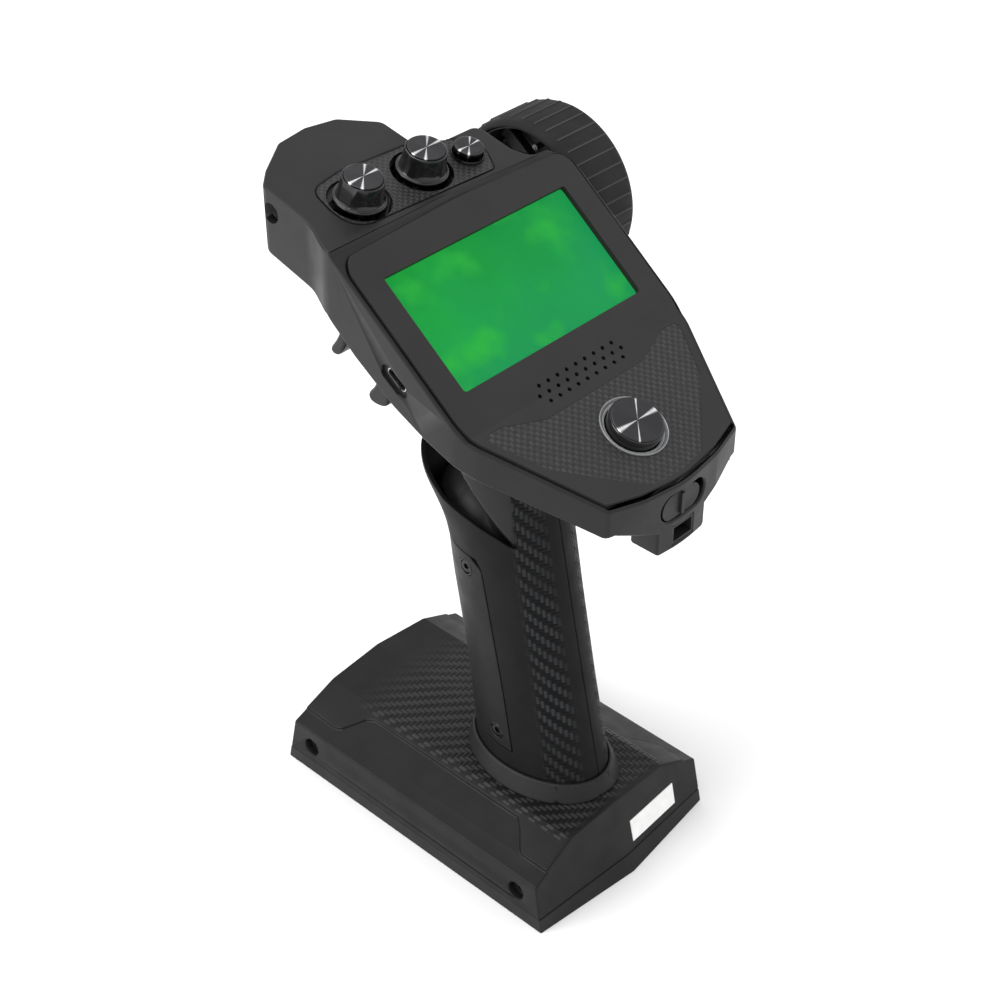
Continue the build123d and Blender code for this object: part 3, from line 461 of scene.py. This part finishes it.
# (centre, radius) of the balls around the head case's small side holes, in millimetres
SCREW_HOLE = ((-50.2, 50.2, 255.2), 6.5)
SOCKET_HOLE = ((-54.6, -9.4, 219.2), 9.0)


def case_share(edge):
    """Head case: every sharp edge is rounded, except the small side holes."""
    return 0.0 if near_any(middle(edge), (SCREW_HOLE, SOCKET_HOLE)) else 1.0


def soft_step(low, high, value):
    """0 below low, 1 above high, smooth between."""
    t = min(1.0, max(0.0, (value - low) / (high - low)))
    return t * t * (3 - 2 * t)


def lathe(profile, segments, place):
    """Solid of revolution about local Z from (radius, height) points in millimetres."""
    bm = bmesh.new()
    rings = []
    for radius, height in profile:
        if radius < 1e-6:
            rings.append([bm.verts.new(place @ Vector((0, 0, height * MM)))])
            continue
        row = []
        for index in range(segments):
            turn = 2 * pi * index / segments
            row.append(bm.verts.new(place @ Vector((radius * cos(turn) * MM, radius * sin(turn) * MM,
                                                    height * MM))))
        rings.append(row)
    for low, high in zip(rings, rings[1:]):
        for index in range(segments):
            after = (index + 1) % segments
            corners = []
            for vert in (low[index % len(low)], low[after % len(low)], high[after % len(high)],
                         high[index % len(high)]):
                if vert not in corners:
                    corners.append(vert)
            if len(corners) > 2:
                bm.faces.new(corners)
    return bm


def plane_place(origin, tilt):
    """Matrix of a face leaning back to the user by tilt."""
    return Matrix.Translation(origin) @ Matrix.Rotation(tilt, 4, "X")


def rounded_profile(points, radius, steps=4):
    """Replace inner corners of an open (r, h) profile with small arcs."""
    done = [points[0]]
    for before, corner, after in zip(points, points[1:], points[2:]):
        a, c, b = Vector(before), Vector(corner), Vector(after)
        reach = min(radius, (a - c).length * 0.45, (b - c).length * 0.45)
        start, end = c + (a - c).normalized() * reach, c + (b - c).normalized() * reach
        for step in range(steps + 1):
            t = step / steps
            done.append(tuple(start.lerp(c, t).lerp(c.lerp(end, t), t)))
    return done + [points[-1]]


# ---------------------------------------------------------------- knobs and buttons
# Profiles are (radius, height) in millimetres above the face they stand on.
SKIRT = [(0, 0.35), (9.1, 0.35), (9.1, 1.15), (8.35, 1.3), (8.05, 1.75), (7.75, 2.9), (7.45, 5.2),
         (7.2, 8.75), (6.75, 8.95), (6.6, 8.8), (0, 8.8)]
KNOB_CAP = [(0, 8.75), (6.5, 8.75), (6.5, 9.35), (6.2, 9.5), (0, 9.5)]
FACET_DEPTH = 6.15              # from the axis to the pointer facet, at its top
FACET_LEAN = 0.2
FACET_FOOT = 1.4
FACET_TOP = 8.9
# (angle, width) of the painted highlight rays on the spun knob and button faces
KNOB_HIGHLIGHT_RAYS = ((radians(43.0), 0.13), (radians(2.0), 0.15))
ROUND_HIGHLIGHT_RAYS = ((radians(48.0), 0.06), (radians(-2.0), 0.16))
PUSH_FACE = 0.65                # from the middle of the collar up to the knob face
ROUND_FACE = 0.725              # from the middle of the metal ring up to the palm face


def add_knob(name, facing):
    """Flared gloss knob with one flat pointer facet and a spun metal cap."""
    joint = JOINTS[f"{name}_knob_turn"]
    place = plane_place(Vector(joint["pos_m"]), KNOB_TILT)
    bm = lathe(rounded_profile(SKIRT, 0.35), 96, place)
    back = place.inverted()
    turn = Matrix.Rotation(-facing, 4, "Z")
    for vert in bm.verts:
        local = turn @ (back @ vert.co)
        height = local.z / MM
        limit = (FACET_DEPTH + (FACET_TOP - height) * FACET_LEAN) * MM
        if FACET_FOOT < height < FACET_TOP and local.x > limit:
            local.x = limit
            vert.co = place @ (turn.inverted() @ local)
    body = f"{name}_knob"
    finish_piece(f"{name}_knob_skirt", bm, PAINTS["knob_gloss"], body,
                 (f"knob_{name}_skirt",))
    cap = lathe(rounded_profile(KNOB_CAP, 0.2), 96, place)
    paint = spun_paint(f"{name}_knob_spun", joint["pos_m"], KNOB_TILT, KNOB_HIGHLIGHT_RAYS)
    finish_piece(f"{name}_knob_cap", cap, paint, body, (f"knob_{name}_cap",))


def add_push_button():
    """Small spun push button in a raised collar."""
    low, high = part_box("push_button_ring")
    centre = (low + high) / 2
    normal = Vector((0, -sin(KNOB_TILT), cos(KNOB_TILT)))
    origin = centre + normal * PUSH_FACE * MM
    place = plane_place(origin, KNOB_TILT)
    collar = [(5.45, -2.2), (5.9, -2.2), (5.95, 0.4), (5.75, 0.9), (5.5, 0.9), (5.4, 0.6), (5.45, -2.2)]
    finish_piece("push_button_collar", lathe(collar, 80, place), PAINTS["knob_gloss"],
                 "transmitter_body", ("push_button_ring",))
    cap = rounded_profile([(0, -1.3), (4.2, -1.3), (4.4, 1.6), (5.2, 2.3), (5.2, 3.5), (4.9, 3.75),
                           (4.2, 3.95), (0, 3.6)], 0.3)
    paint = spun_paint("push_button_spun", origin, KNOB_TILT, KNOB_HIGHLIGHT_RAYS)
    finish_piece("push_button_top", lathe(cap, 80, place), paint, "push_button",
                 ("push_button_cap",))


def add_round_button():
    """Main button: spun cap, translucent light ring and flat metal ring."""
    low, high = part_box("round_button_ring")
    centre = (low + high) / 2
    normal = Vector((0, -sin(PALM_TILT), cos(PALM_TILT)))
    origin = centre + normal * ROUND_FACE * MM
    place = plane_place(origin, PALM_TILT)
    ring = rounded_profile([(10.9, -2.0), (11.9, -2.0), (11.9, 0.4), (11.75, 0.5), (11.55, 0.4),
                            (10.9, -0.2), (10.9, -2.0)], 0.1, 2)
    finish_piece("round_button_bezel", lathe(ring, 120, place), PAINTS["ring_metal"],
                 "transmitter_body", ("round_button_ring",))
    glow = rounded_profile([(9.9, -2.2), (10.8, -2.2), (10.8, -0.25), (9.9, -0.9), (9.9, -2.2)], 0.1, 2)
    finish_piece("round_button_glow", lathe(glow, 120, place), PAINTS["light_ring"],
                 "transmitter_body", ("round_button_light_ring",))
    side = rounded_profile([(0, -2.0), (9.6, -2.0), (9.6, 2.9), (9.3, 3.35), (9.0, 3.25), (0, 3.25)], 0.3)
    finish_piece("round_button_side", lathe(side, 120, place), PAINTS["knob_gloss"], "round_button",
                 ("round_button_cap",))
    face = rounded_profile([(0, 3.2), (9.0, 3.2), (9.0, 3.4), (8.7, 3.58), (0, 3.45)], 0.15)
    paint = spun_paint("round_button_spun", origin, PALM_TILT, ROUND_HIGHLIGHT_RAYS)
    finish_piece("round_button_face", lathe(face, 120, place), paint, "round_button")


# ---------------------------------------------------------------- steering wheel
TREAD_RIBS = 36
STEPS_PER_RIB = 16
RIM = 2.5                       # thickness of the grip ring
TREAD_DEPTH = 0.45              # of the tread between ribs, below the outer radius
RIB_RISE = 0.42
RIB_HALF = 0.09                 # half width of a rib, as a share of the rib pitch


def tread_paint(axis):
    """Wheel rubber with a painted highlight: the top of each rib is painted a little lighter, standing in
    for light catching it.
    """
    paint = moulded("tread_rubber", (0.0098, 0.0098, 0.0100), (0.0138, 0.0138, 0.0141), (0.55, 0.7),
                    1800.0, 0.00005, Specular_IOR_Level=0.16)
    _, y, z = paint.axes()
    turn = paint.math("ARCTAN2", paint.math("SUBTRACT", y, axis.y), paint.math("SUBTRACT", z, axis.z))
    share = paint.math("FRACT", paint.math("ADD", paint.math("MULTIPLY", turn, TREAD_RIBS / (2 * pi)),
                                           TREAD_RIBS))
    away = paint.math("ABSOLUTE", paint.math("SUBTRACT", share, 0.5))
    out = paint.math("SQRT", paint.math("ADD", paint.math("POWER", paint.math("SUBTRACT", y, axis.y), 2.0),
                                        paint.math("POWER", paint.math("SUBTRACT", z, axis.z), 2.0)))
    crest_highlight = paint.math("MULTIPLY", paint.remap(away, 0.02, 0.06, 1.0, 0.0, smooth=True),
                       paint.remap(out, 0.0324, 0.0327))
    low = paint.shader.inputs["Base Color"].links[0].from_socket
    # painted highlight: lighter colour along the top of each rib, on the outer radius only
    paint.feed(paint.shader.inputs["Base Color"], paint.blend(crest_highlight, low, (0.05, 0.05, 0.051)))
    return paint.material


def add_wheel():
    """Ribbed grip ring with a rolled lip, and the softened hub behind it."""
    low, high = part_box("wheel_grip")
    axis = Vector(JOINTS["wheel_turn"]["pos_m"])
    outer = (high.z - low.z) / 2 / MM
    near, far = low.x / MM, high.x / MM
    place = Matrix.Translation((0, axis.y, axis.z)) @ Matrix.Rotation(pi / 2, 4, "Y")
    drum = outer - RIM
    floor = outer - TREAD_DEPTH
    lip = [(drum - 0.5, near + 3.2), (drum - 1.1, near + 1.6), (drum - 0.8, near + 0.5), (drum, near),
           (drum + 1.0, near + 0.5), (drum + 1.7, near + 1.8), (drum + 1.9, near + 3.4)]
    tread = [(floor, near + 4.4), (floor, far - 2.2)]
    end = [(outer - 1.1, far - 0.7), (outer - 2.0, far), (drum + 0.2, far), (drum, far - 1.0),
           (drum, near + 4.0), (drum - 0.5, near + 3.2)]
    bm = lathe(rounded_profile(lip, 0.6) + tread + end, TREAD_RIBS * STEPS_PER_RIB, place)
    back = place.inverted()
    for vert in bm.verts:
        local = back @ vert.co
        radius = sqrt(local.x ** 2 + local.y ** 2) / MM
        if abs(radius - floor) < 0.01:
            turn = atan2(local.y, local.x) / (2 * pi) * TREAD_RIBS
            share = turn - int(turn // 1)
            rise = max(0.0, 1 - abs(share - 0.5) / RIB_HALF) ** 0.6
            grown = (floor + RIB_RISE * rise) / radius
            local.x *= grown
            local.y *= grown
            vert.co = place @ local
    finish_piece("wheel_tread", bm, tread_paint(axis), "steering_wheel",
                 ("wheel_grip",), 50.0)
    softened("wheel_hub", PAINTS["wheel_plastic"], 0.6)


# ---------------------------------------------------------------- trigger
# (y, z) of the two blades seen from the side, in millimetres.
TRIGGER_OUTLINE = [
    (52.0, 221.0), (52.3, 212.0), (53.2, 203.0), (54.8, 195.6), (57.4, 190.2), (59.9, 186.6),
    (60.2, 184.9), (58.9, 183.7), (56.6, 184.0), (54.0, 187.0), (51.6, 192.6), (49.8, 198.6),
    (47.8, 202.4), (44.6, 203.4), (41.6, 201.0), (38.9, 195.0), (37.2, 188.0), (37.2, 182.4),
    (38.6, 178.9), (40.9, 176.0), (41.6, 173.9), (40.2, 172.0), (36.8, 171.6), (33.4, 172.6),
    (31.4, 175.4), (30.9, 180.2), (31.4, 187.0), (33.2, 196.0), (36.6, 206.0), (40.0, 214.0),
    (41.8, 221.0)]


def smooth_line(points, steps):
    """Closed Catmull-Rom line through points."""
    done = []
    count = len(points)
    for index in range(count):
        p0, p1, p2, p3 = (Vector(points[(index + shift) % count]) for shift in (-1, 0, 1, 2))
        for step in range(steps):
            t = step / steps
            done.append(0.5 * ((2 * p1) + (p2 - p0) * t + (2 * p0 - 5 * p1 + 4 * p2 - p3) * t * t
                               + (3 * p1 - p0 - 3 * p2 + p3) * t * t * t))
    return done


def add_trigger():
    """Two-bladed trigger lever with rounded edges."""
    low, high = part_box("trigger_lever")
    bm = bmesh.new()
    line = smooth_line(TRIGGER_OUTLINE, 4)
    verts = [bm.verts.new((low.x, y * MM, z * MM)) for y, z in line]
    face = bm.faces.new(verts)
    grown = bmesh.ops.extrude_face_region(bm, geom=[face])
    for item in grown["geom"]:
        if isinstance(item, bmesh.types.BMVert):
            item.co.x = high.x
    piece = finish_piece("trigger_blades", bm, PAINTS["trigger_plastic"], "trigger",
                         ("trigger_lever",), 50.0)
    add_bevel(piece, 1.3, 5, 60.0)


# ---------------------------------------------------------------- grip
# (height, centre y, half width, half depth) of the oval grip, in millimetres.
GRIP = [(28.0, -27.7, 19.85, 29.3), (73.5, -20.1, 19.2, 27.0), (112.0, -12.9, 19.8, 26.2),
        (150.0, -7.0, 20.6, 24.6), (190.0, -4.6, 20.8, 21.6)]
PANEL_TOP = 128.6
PANEL_FOOT = 46.0
PANEL_SCREWS = ((-5.4, 121.9), (-20.3, 51.9))
# (y, height) of the wrap's upper rim.
WRAP_RIM = [(-60.0, 138.4), (-24.5, 138.4), (-19.0, 141.5), (-8.4, 144.9), (5.0, 147.5),
            (14.0, 152.4), (24.0, 159.5), (60.0, 160.5)]
# (height, y) of the side panel's rear edge.
PANEL_EDGE = [(0.0, -37.0), (47.6, -28.4), (124.7, -13.8), (PANEL_TOP, -11.0), (200.0, -11.0)]
WRAP_FOOT = 29.0
WRAP_HEAD = 188.0               # the strips behind the neck run up to here, inside the head
CORE_FOOT = 126.0
CORE_HEAD = 187.0
FRONT_TURN = radians(90.0)
SEAM_TURN = radians(-90.0)
NECK_TURN = radians(-43.5)      # the neck's plain flank starts here, beside the woven rear
RIDGE_START = (-25.5, 138.2)    # (y, height) where the neck's ridge leaves the wrap
RIDGE_SLOPE = 1.17


def between(rows, x):
    """Straight-line value in sorted rows of (x, value, ...)."""
    for a, b in zip(rows, rows[1:]):
        if x <= b[0]:
            break
    share = (x - a[0]) / (b[0] - a[0])
    return [p + (q - p) * share for p, q in zip(a[1:], b[1:])]


def flare(turn, z):
    """How far the grip swells outwards under the finger rest at the front."""
    front = soft_step(radians(-25), radians(75), turn)
    rise = soft_step(124.0, 156.0, z)
    return 9.5 * front ** 1.6 * rise ** 1.5


def grip_point(turn, z, inset=0.0):
    """Point on the grip: turn runs from -90 degrees (rear) through 0 (side) to 90 (front)."""
    centre, half_width, half_depth = between(GRIP, z)
    swell = flare(turn, z) - inset
    return Vector((-(half_width + swell * 0.75) * cos(turn),
                   centre + (half_depth + swell) * sin(turn), z))


def panel_turn(z):
    """Turn at which the side panel's rear edge lies."""
    centre, _, half_depth = between(GRIP, z)
    edge = between(PANEL_EDGE, z)[0]
    return asin(max(-1.0, min(1.0, (edge - centre) / half_depth)))


def rim_height(turn):
    """Height of the wrap's upper rim at a turn."""
    z = 145.0
    for _ in range(12):
        z = between(WRAP_RIM, grip_point(turn, z).y)[0]
    return z


def grid_faces(bm, rows):
    """Skin neighbouring rows of vertices."""
    for low, high in zip(rows, rows[1:]):
        for a, b, c, d in zip(low, low[1:], high[1:], high):
            if len({a, b, c, d}) == 4:
                bm.faces.new((a, b, c, d))


def steps(low, high, count):
    """Evenly spaced values from low to high, both included."""
    return [low + (high - low) * index / count for index in range(count + 1)]


def add_wrap(side):
    """One half of the grip wrap: rear strip, collar under the rim, and the strip up to the head."""
    bm = bmesh.new()
    mirror = 1 if side == "left" else -1
    made = {}

    def vert(turn, z, inset=0.0):
        point = grip_point(turn, z, inset)
        point.x = min(point.x, -0.10)
        key = (round(point.x, 3), round(point.y, 3), round(point.z, 3))
        if key not in made:
            made[key] = bm.verts.new((point.x * mirror * MM, point.y * MM, point.z * MM))
        return made[key]
    rows = []
    for z in steps(WRAP_FOOT, PANEL_TOP, 60):
        rows.append([vert(turn, z) for turn in steps(SEAM_TURN, NECK_TURN, 16)]
                    + [vert(turn, z) for turn in steps(NECK_TURN, panel_turn(z), 10)[1:]])
    grid_faces(bm, rows)
    rows = []
    for z in steps(WRAP_FOOT, PANEL_TOP, 60)[:11]:
        rows.append([vert(turn, z) for turn in steps(panel_turn(z), FRONT_TURN, 30)])
    grid_faces(bm, rows)
    end = panel_turn(PANEL_TOP)
    turns = steps(SEAM_TURN, NECK_TURN, 16) + steps(NECK_TURN, end, 10)[1:] \
        + steps(end, FRONT_TURN, 30)[1:]
    rows = []
    for share in steps(0.0, 1.0, 14):
        row = []
        for turn in turns:
            top = rim_height(turn)
            row.append(vert(turn, PANEL_TOP + (top - PANEL_TOP) * share))
        rows.append(row)
    grid_faces(bm, rows)
    neck_turns = steps(SEAM_TURN, NECK_TURN, 16)
    rows = []
    for share in steps(0.0, 1.0, 20):
        rows.append([vert(turn, rim_height(turn) + (WRAP_HEAD - rim_height(turn)) * share)
                     for turn in neck_turns])
    grid_faces(bm, rows)
    piece = finish_piece(f"grip_wrap_{side}_skin", bm, PAINTS["grip_rubber"], "transmitter_body",
                         (f"grip_wrap_{side}",), 45.0)
    thick = piece.modifiers.new("thickness", "SOLIDIFY")
    thick.thickness = 1.6 * MM
    thick.offset = -1.0
    add_bevel(piece, 0.35, 2, 50.0)


def add_panel(side):
    """Side panel over the grip's inner half, with two screw holes."""
    bm = bmesh.new()
    mirror = 1 if side == "left" else -1
    rows = []
    for z in steps(PANEL_FOOT, PANEL_TOP - 0.5, 90):
        start = panel_turn(z) + 0.018
        corner = max(0.0, z - 124.7) * 0.035
        row = []
        for turn in steps(start + corner, radians(89.7), 44):
            point = grip_point(turn, z, 0.12)
            row.append(bm.verts.new((point.x * mirror * MM, point.y * MM, point.z * MM)))
        rows.append(row)
    grid_faces(bm, rows)
    inner = []
    for y, z in PANEL_SCREWS:
        inner += [v for v in bm.verts if sqrt((v.co.y / MM - y) ** 2 + (v.co.z / MM - z) ** 2) < 2.5]
        centre, half_width, half_depth = between(GRIP, z)
        turn = asin((y - centre) / half_depth)
        facing = Vector((-mirror * cos(turn) / half_width, sin(turn) / half_depth, 0)).normalized()
        place = Matrix.Translation(Vector((-mirror * half_width * cos(turn), y, z)) * MM) \
            @ facing.to_track_quat("Z", "Y").to_matrix().to_4x4()
        cup = rounded_profile([(4.4, -1.2), (3.3, 0.02), (2.95, 0.05), (2.75, -0.2), (2.75, -1.9),
                               (0, -1.9)], 0.15, 2)
        finish_piece(f"grip_panel_{side}_cup_{z:.0f}", lathe(cup, 48, place), PAINTS["knob_plastic"],
                     "transmitter_body")
    bmesh.ops.delete(bm, geom=inner, context="VERTS")
    piece = finish_piece(f"grip_panel_{side}_skin", bm, PAINTS["panel_plastic"], "transmitter_body",
                         (f"grip_panel_{side}",), 45.0)
    thick = piece.modifiers.new("thickness", "SOLIDIFY")
    thick.thickness = 1.8 * MM
    thick.offset = -1.0
    add_bevel(piece, 0.4, 3, 50.0)


def neck_inset(turn, z):
    """Depth of the neck's surface under the grip's oval: plain flank, ridge and thumb scoop."""
    y = grip_point(turn, z).y - flare(turn, z)
    ridge = RIDGE_START[1] + (y - RIDGE_START[0]) * RIDGE_SLOPE
    floor = between(WRAP_RIM, y)[0] - 5.0
    if y < RIDGE_START[0] + 0.5:
        return 1.75
    if z >= ridge:
        return 1.3 + 4.5 * soft_step(-6.0, 12.0, y)
    share = max(0.0, (z - floor) / max(0.6, ridge - floor))
    depth = min(9.0, 0.55 * (ridge - floor))
    return 1.75 + depth * sin(pi * min(1.0, share) ** 0.8) ** 0.7 * (1 - 0.35 * share ** 6)


def add_neck(side):
    """Inner core seen above the wrap: thumb scoop, ridge and the flank up to the head."""
    bm = bmesh.new()
    mirror = 1 if side == "left" else -1
    rows = []
    for z in steps(CORE_FOOT, CORE_HEAD, 90):
        row = []
        for turn in steps(radians(-89.6), radians(89.6), 72):
            swell = flare(turn, z) * (1 - soft_step(140.0, 152.0, z))
            inset = neck_inset(turn, z) + flare(turn, z) - swell
            point = grip_point(turn, z, inset)
            row.append(bm.verts.new((point.x * mirror * MM, point.y * MM, point.z * MM)))
        rows.append(row)
    grid_faces(bm, rows)
    finish_piece(f"grip_core_{side}_neck", bm, PAINTS["core_plastic"], "transmitter_body",
                 (f"grip_core_{side}",), 38.0)


# ---------------------------------------------------------------- build
PAINTS = {
    "case_plastic": simple_paint("case_plastic", BASE_HIGH, DARKER, (0.42, 0.55), 2600.0, 0.00003),
    "front_plastic": simple_paint("front_plastic", DARKER, DARK, (0.34, 0.46), 2600.0, 0.00002),
    "bezel_plastic": simple_paint("bezel_plastic", (0.0168, 0.0155, 0.0156), (0.0205, 0.019, 0.0192),
                                  (0.44, 0.56), 2200.0, 0.00003),
    "panel_plastic": simple_paint("panel_plastic", (0.0070, 0.0070, 0.0072), (0.0098, 0.0097, 0.0099),
                                  (0.42, 0.54), 2600.0, 0.00002, Specular_IOR_Level=0.16),
    "core_plastic": simple_paint("core_plastic", DARKER, DARK, (0.4, 0.52), 2600.0, 0.00002),
    "trigger_plastic": simple_paint("trigger_plastic", DARKER, DARK, (0.32, 0.45), 2600.0, 0.00002),
    "knob_gloss": simple_paint("knob_gloss", (0.006, 0.006, 0.0065), (0.009, 0.009, 0.0095), (0.1, 0.2),
                               500.0, 0.000004, Coat_Weight=0.4, Coat_Roughness=0.08),
    "component_black": simple_paint("component_black", (0.012, 0.012, 0.012), (0.02, 0.02, 0.02),
                                    (0.4, 0.55), 1500.0, 0.00002),
    "foot_rubber": simple_paint("foot_rubber", (0.012, 0.012, 0.012), (0.02, 0.02, 0.02),
                                (0.7, 0.85), 1800.0, 0.00005),
    "wheel_rubber": simple_paint("wheel_rubber", (0.0105, 0.0105, 0.0108), (0.0150, 0.0150, 0.0153),
                                 (0.55, 0.7), 1800.0, 0.00005, Specular_IOR_Level=0.16),
    "knob_plastic": simple_paint("knob_plastic", (0.006, 0.006, 0.0065), (0.009, 0.009, 0.0095),
                                 (0.1, 0.2), 500.0, 0.000004),
    "wheel_plastic": simple_paint("wheel_plastic", (0.010, 0.010, 0.0105), (0.015, 0.015, 0.0155),
                                  (0.38, 0.5), 2200.0, 0.00003),
    "cell_wrap": simple_paint("cell_wrap", (0.02, 0.07, 0.22), (0.03, 0.1, 0.3), (0.2, 0.3), 300.0,
                              0.00001),
    "light_ring": simple_paint("light_ring", (0.34, 0.35, 0.36), (0.44, 0.45, 0.46), (0.3, 0.4), 900.0,
                               0.00001),
    "carbon_film": inlay_paint("carbon_palm", PALM_TILT, 1.5, (0.041, 0.039, 0.0395)),
    "knob_film": inlay_paint("carbon_knobs", KNOB_TILT, 1.3, (0.034, 0.0325, 0.033)),
    "base_deck": deck_paint(),
    "grip_rubber": grip_paint(),
    "ring_metal": simple_paint("ring_metal", (0.24, 0.245, 0.25), (0.32, 0.325, 0.33), (0.25, 0.35),
                               900.0, 0.00001, Metallic=0.3),
    "spun_aluminium": metal_paint("spun_aluminium", (0.04, 0.04, 0.042), (0.07, 0.07, 0.072), (0.28, 0.4)),
    "steel": metal_paint("steel", (0.45, 0.45, 0.46), (0.6, 0.6, 0.61), (0.22, 0.35)),
    "screw_steel": metal_paint("screw_steel", (0.03, 0.03, 0.032), (0.06, 0.06, 0.062), (0.35, 0.5)),
    "display": screen_paint(),
    "circuit_board": board_paint(),
    "label_paper": label_paint(),
}
PAINTS["screen_glass"] = simple_paint("screen_glass", (0.0, 0.0, 0.0), (0.004, 0.004, 0.004),
                                      (0.12, 0.2), 60.0, 0.000001, Alpha=0.1,
                                      Specular_IOR_Level=0.1)


def paint_cad():
    """Give every CAD node the finish of its slot."""
    slots = {row["node"]: row["material_slot"] for row in frame["record"]["subparts"]}
    for node, obj in frame["nodes"].items():
        paint = PAINTS["knob_film" if node == "knob_inlay" else slots[node]]
        obj.data.materials.clear()
        obj.data.materials.append(paint)


paint_cad()
for name, facing in (("left", pi), ("centre", pi * 0.45)):
    add_knob(name, facing)
add_push_button()
add_round_button()
add_wheel()
add_trigger()
for hand in ("left", "right"):
    add_wrap(hand)
    add_panel(hand)
    add_neck(hand)
softened("head_upper_case", PAINTS["front_plastic"], 0.9, 4, share=case_share)
softened("head_lower_case", PAINTS["case_plastic"], 1.0, 3)
softened("base_top_shell", PAINTS["base_deck"], 0.7, 3, 24.0)
softened("base_bottom_plate", PAINTS["case_plastic"], 0.4, 3)
softened("grip_foot_ring", PAINTS["core_plastic"], 0.8, 3)
softened("wheel_mount", PAINTS["case_plastic"], 0.8, 3)
add_stage()
add_camera()
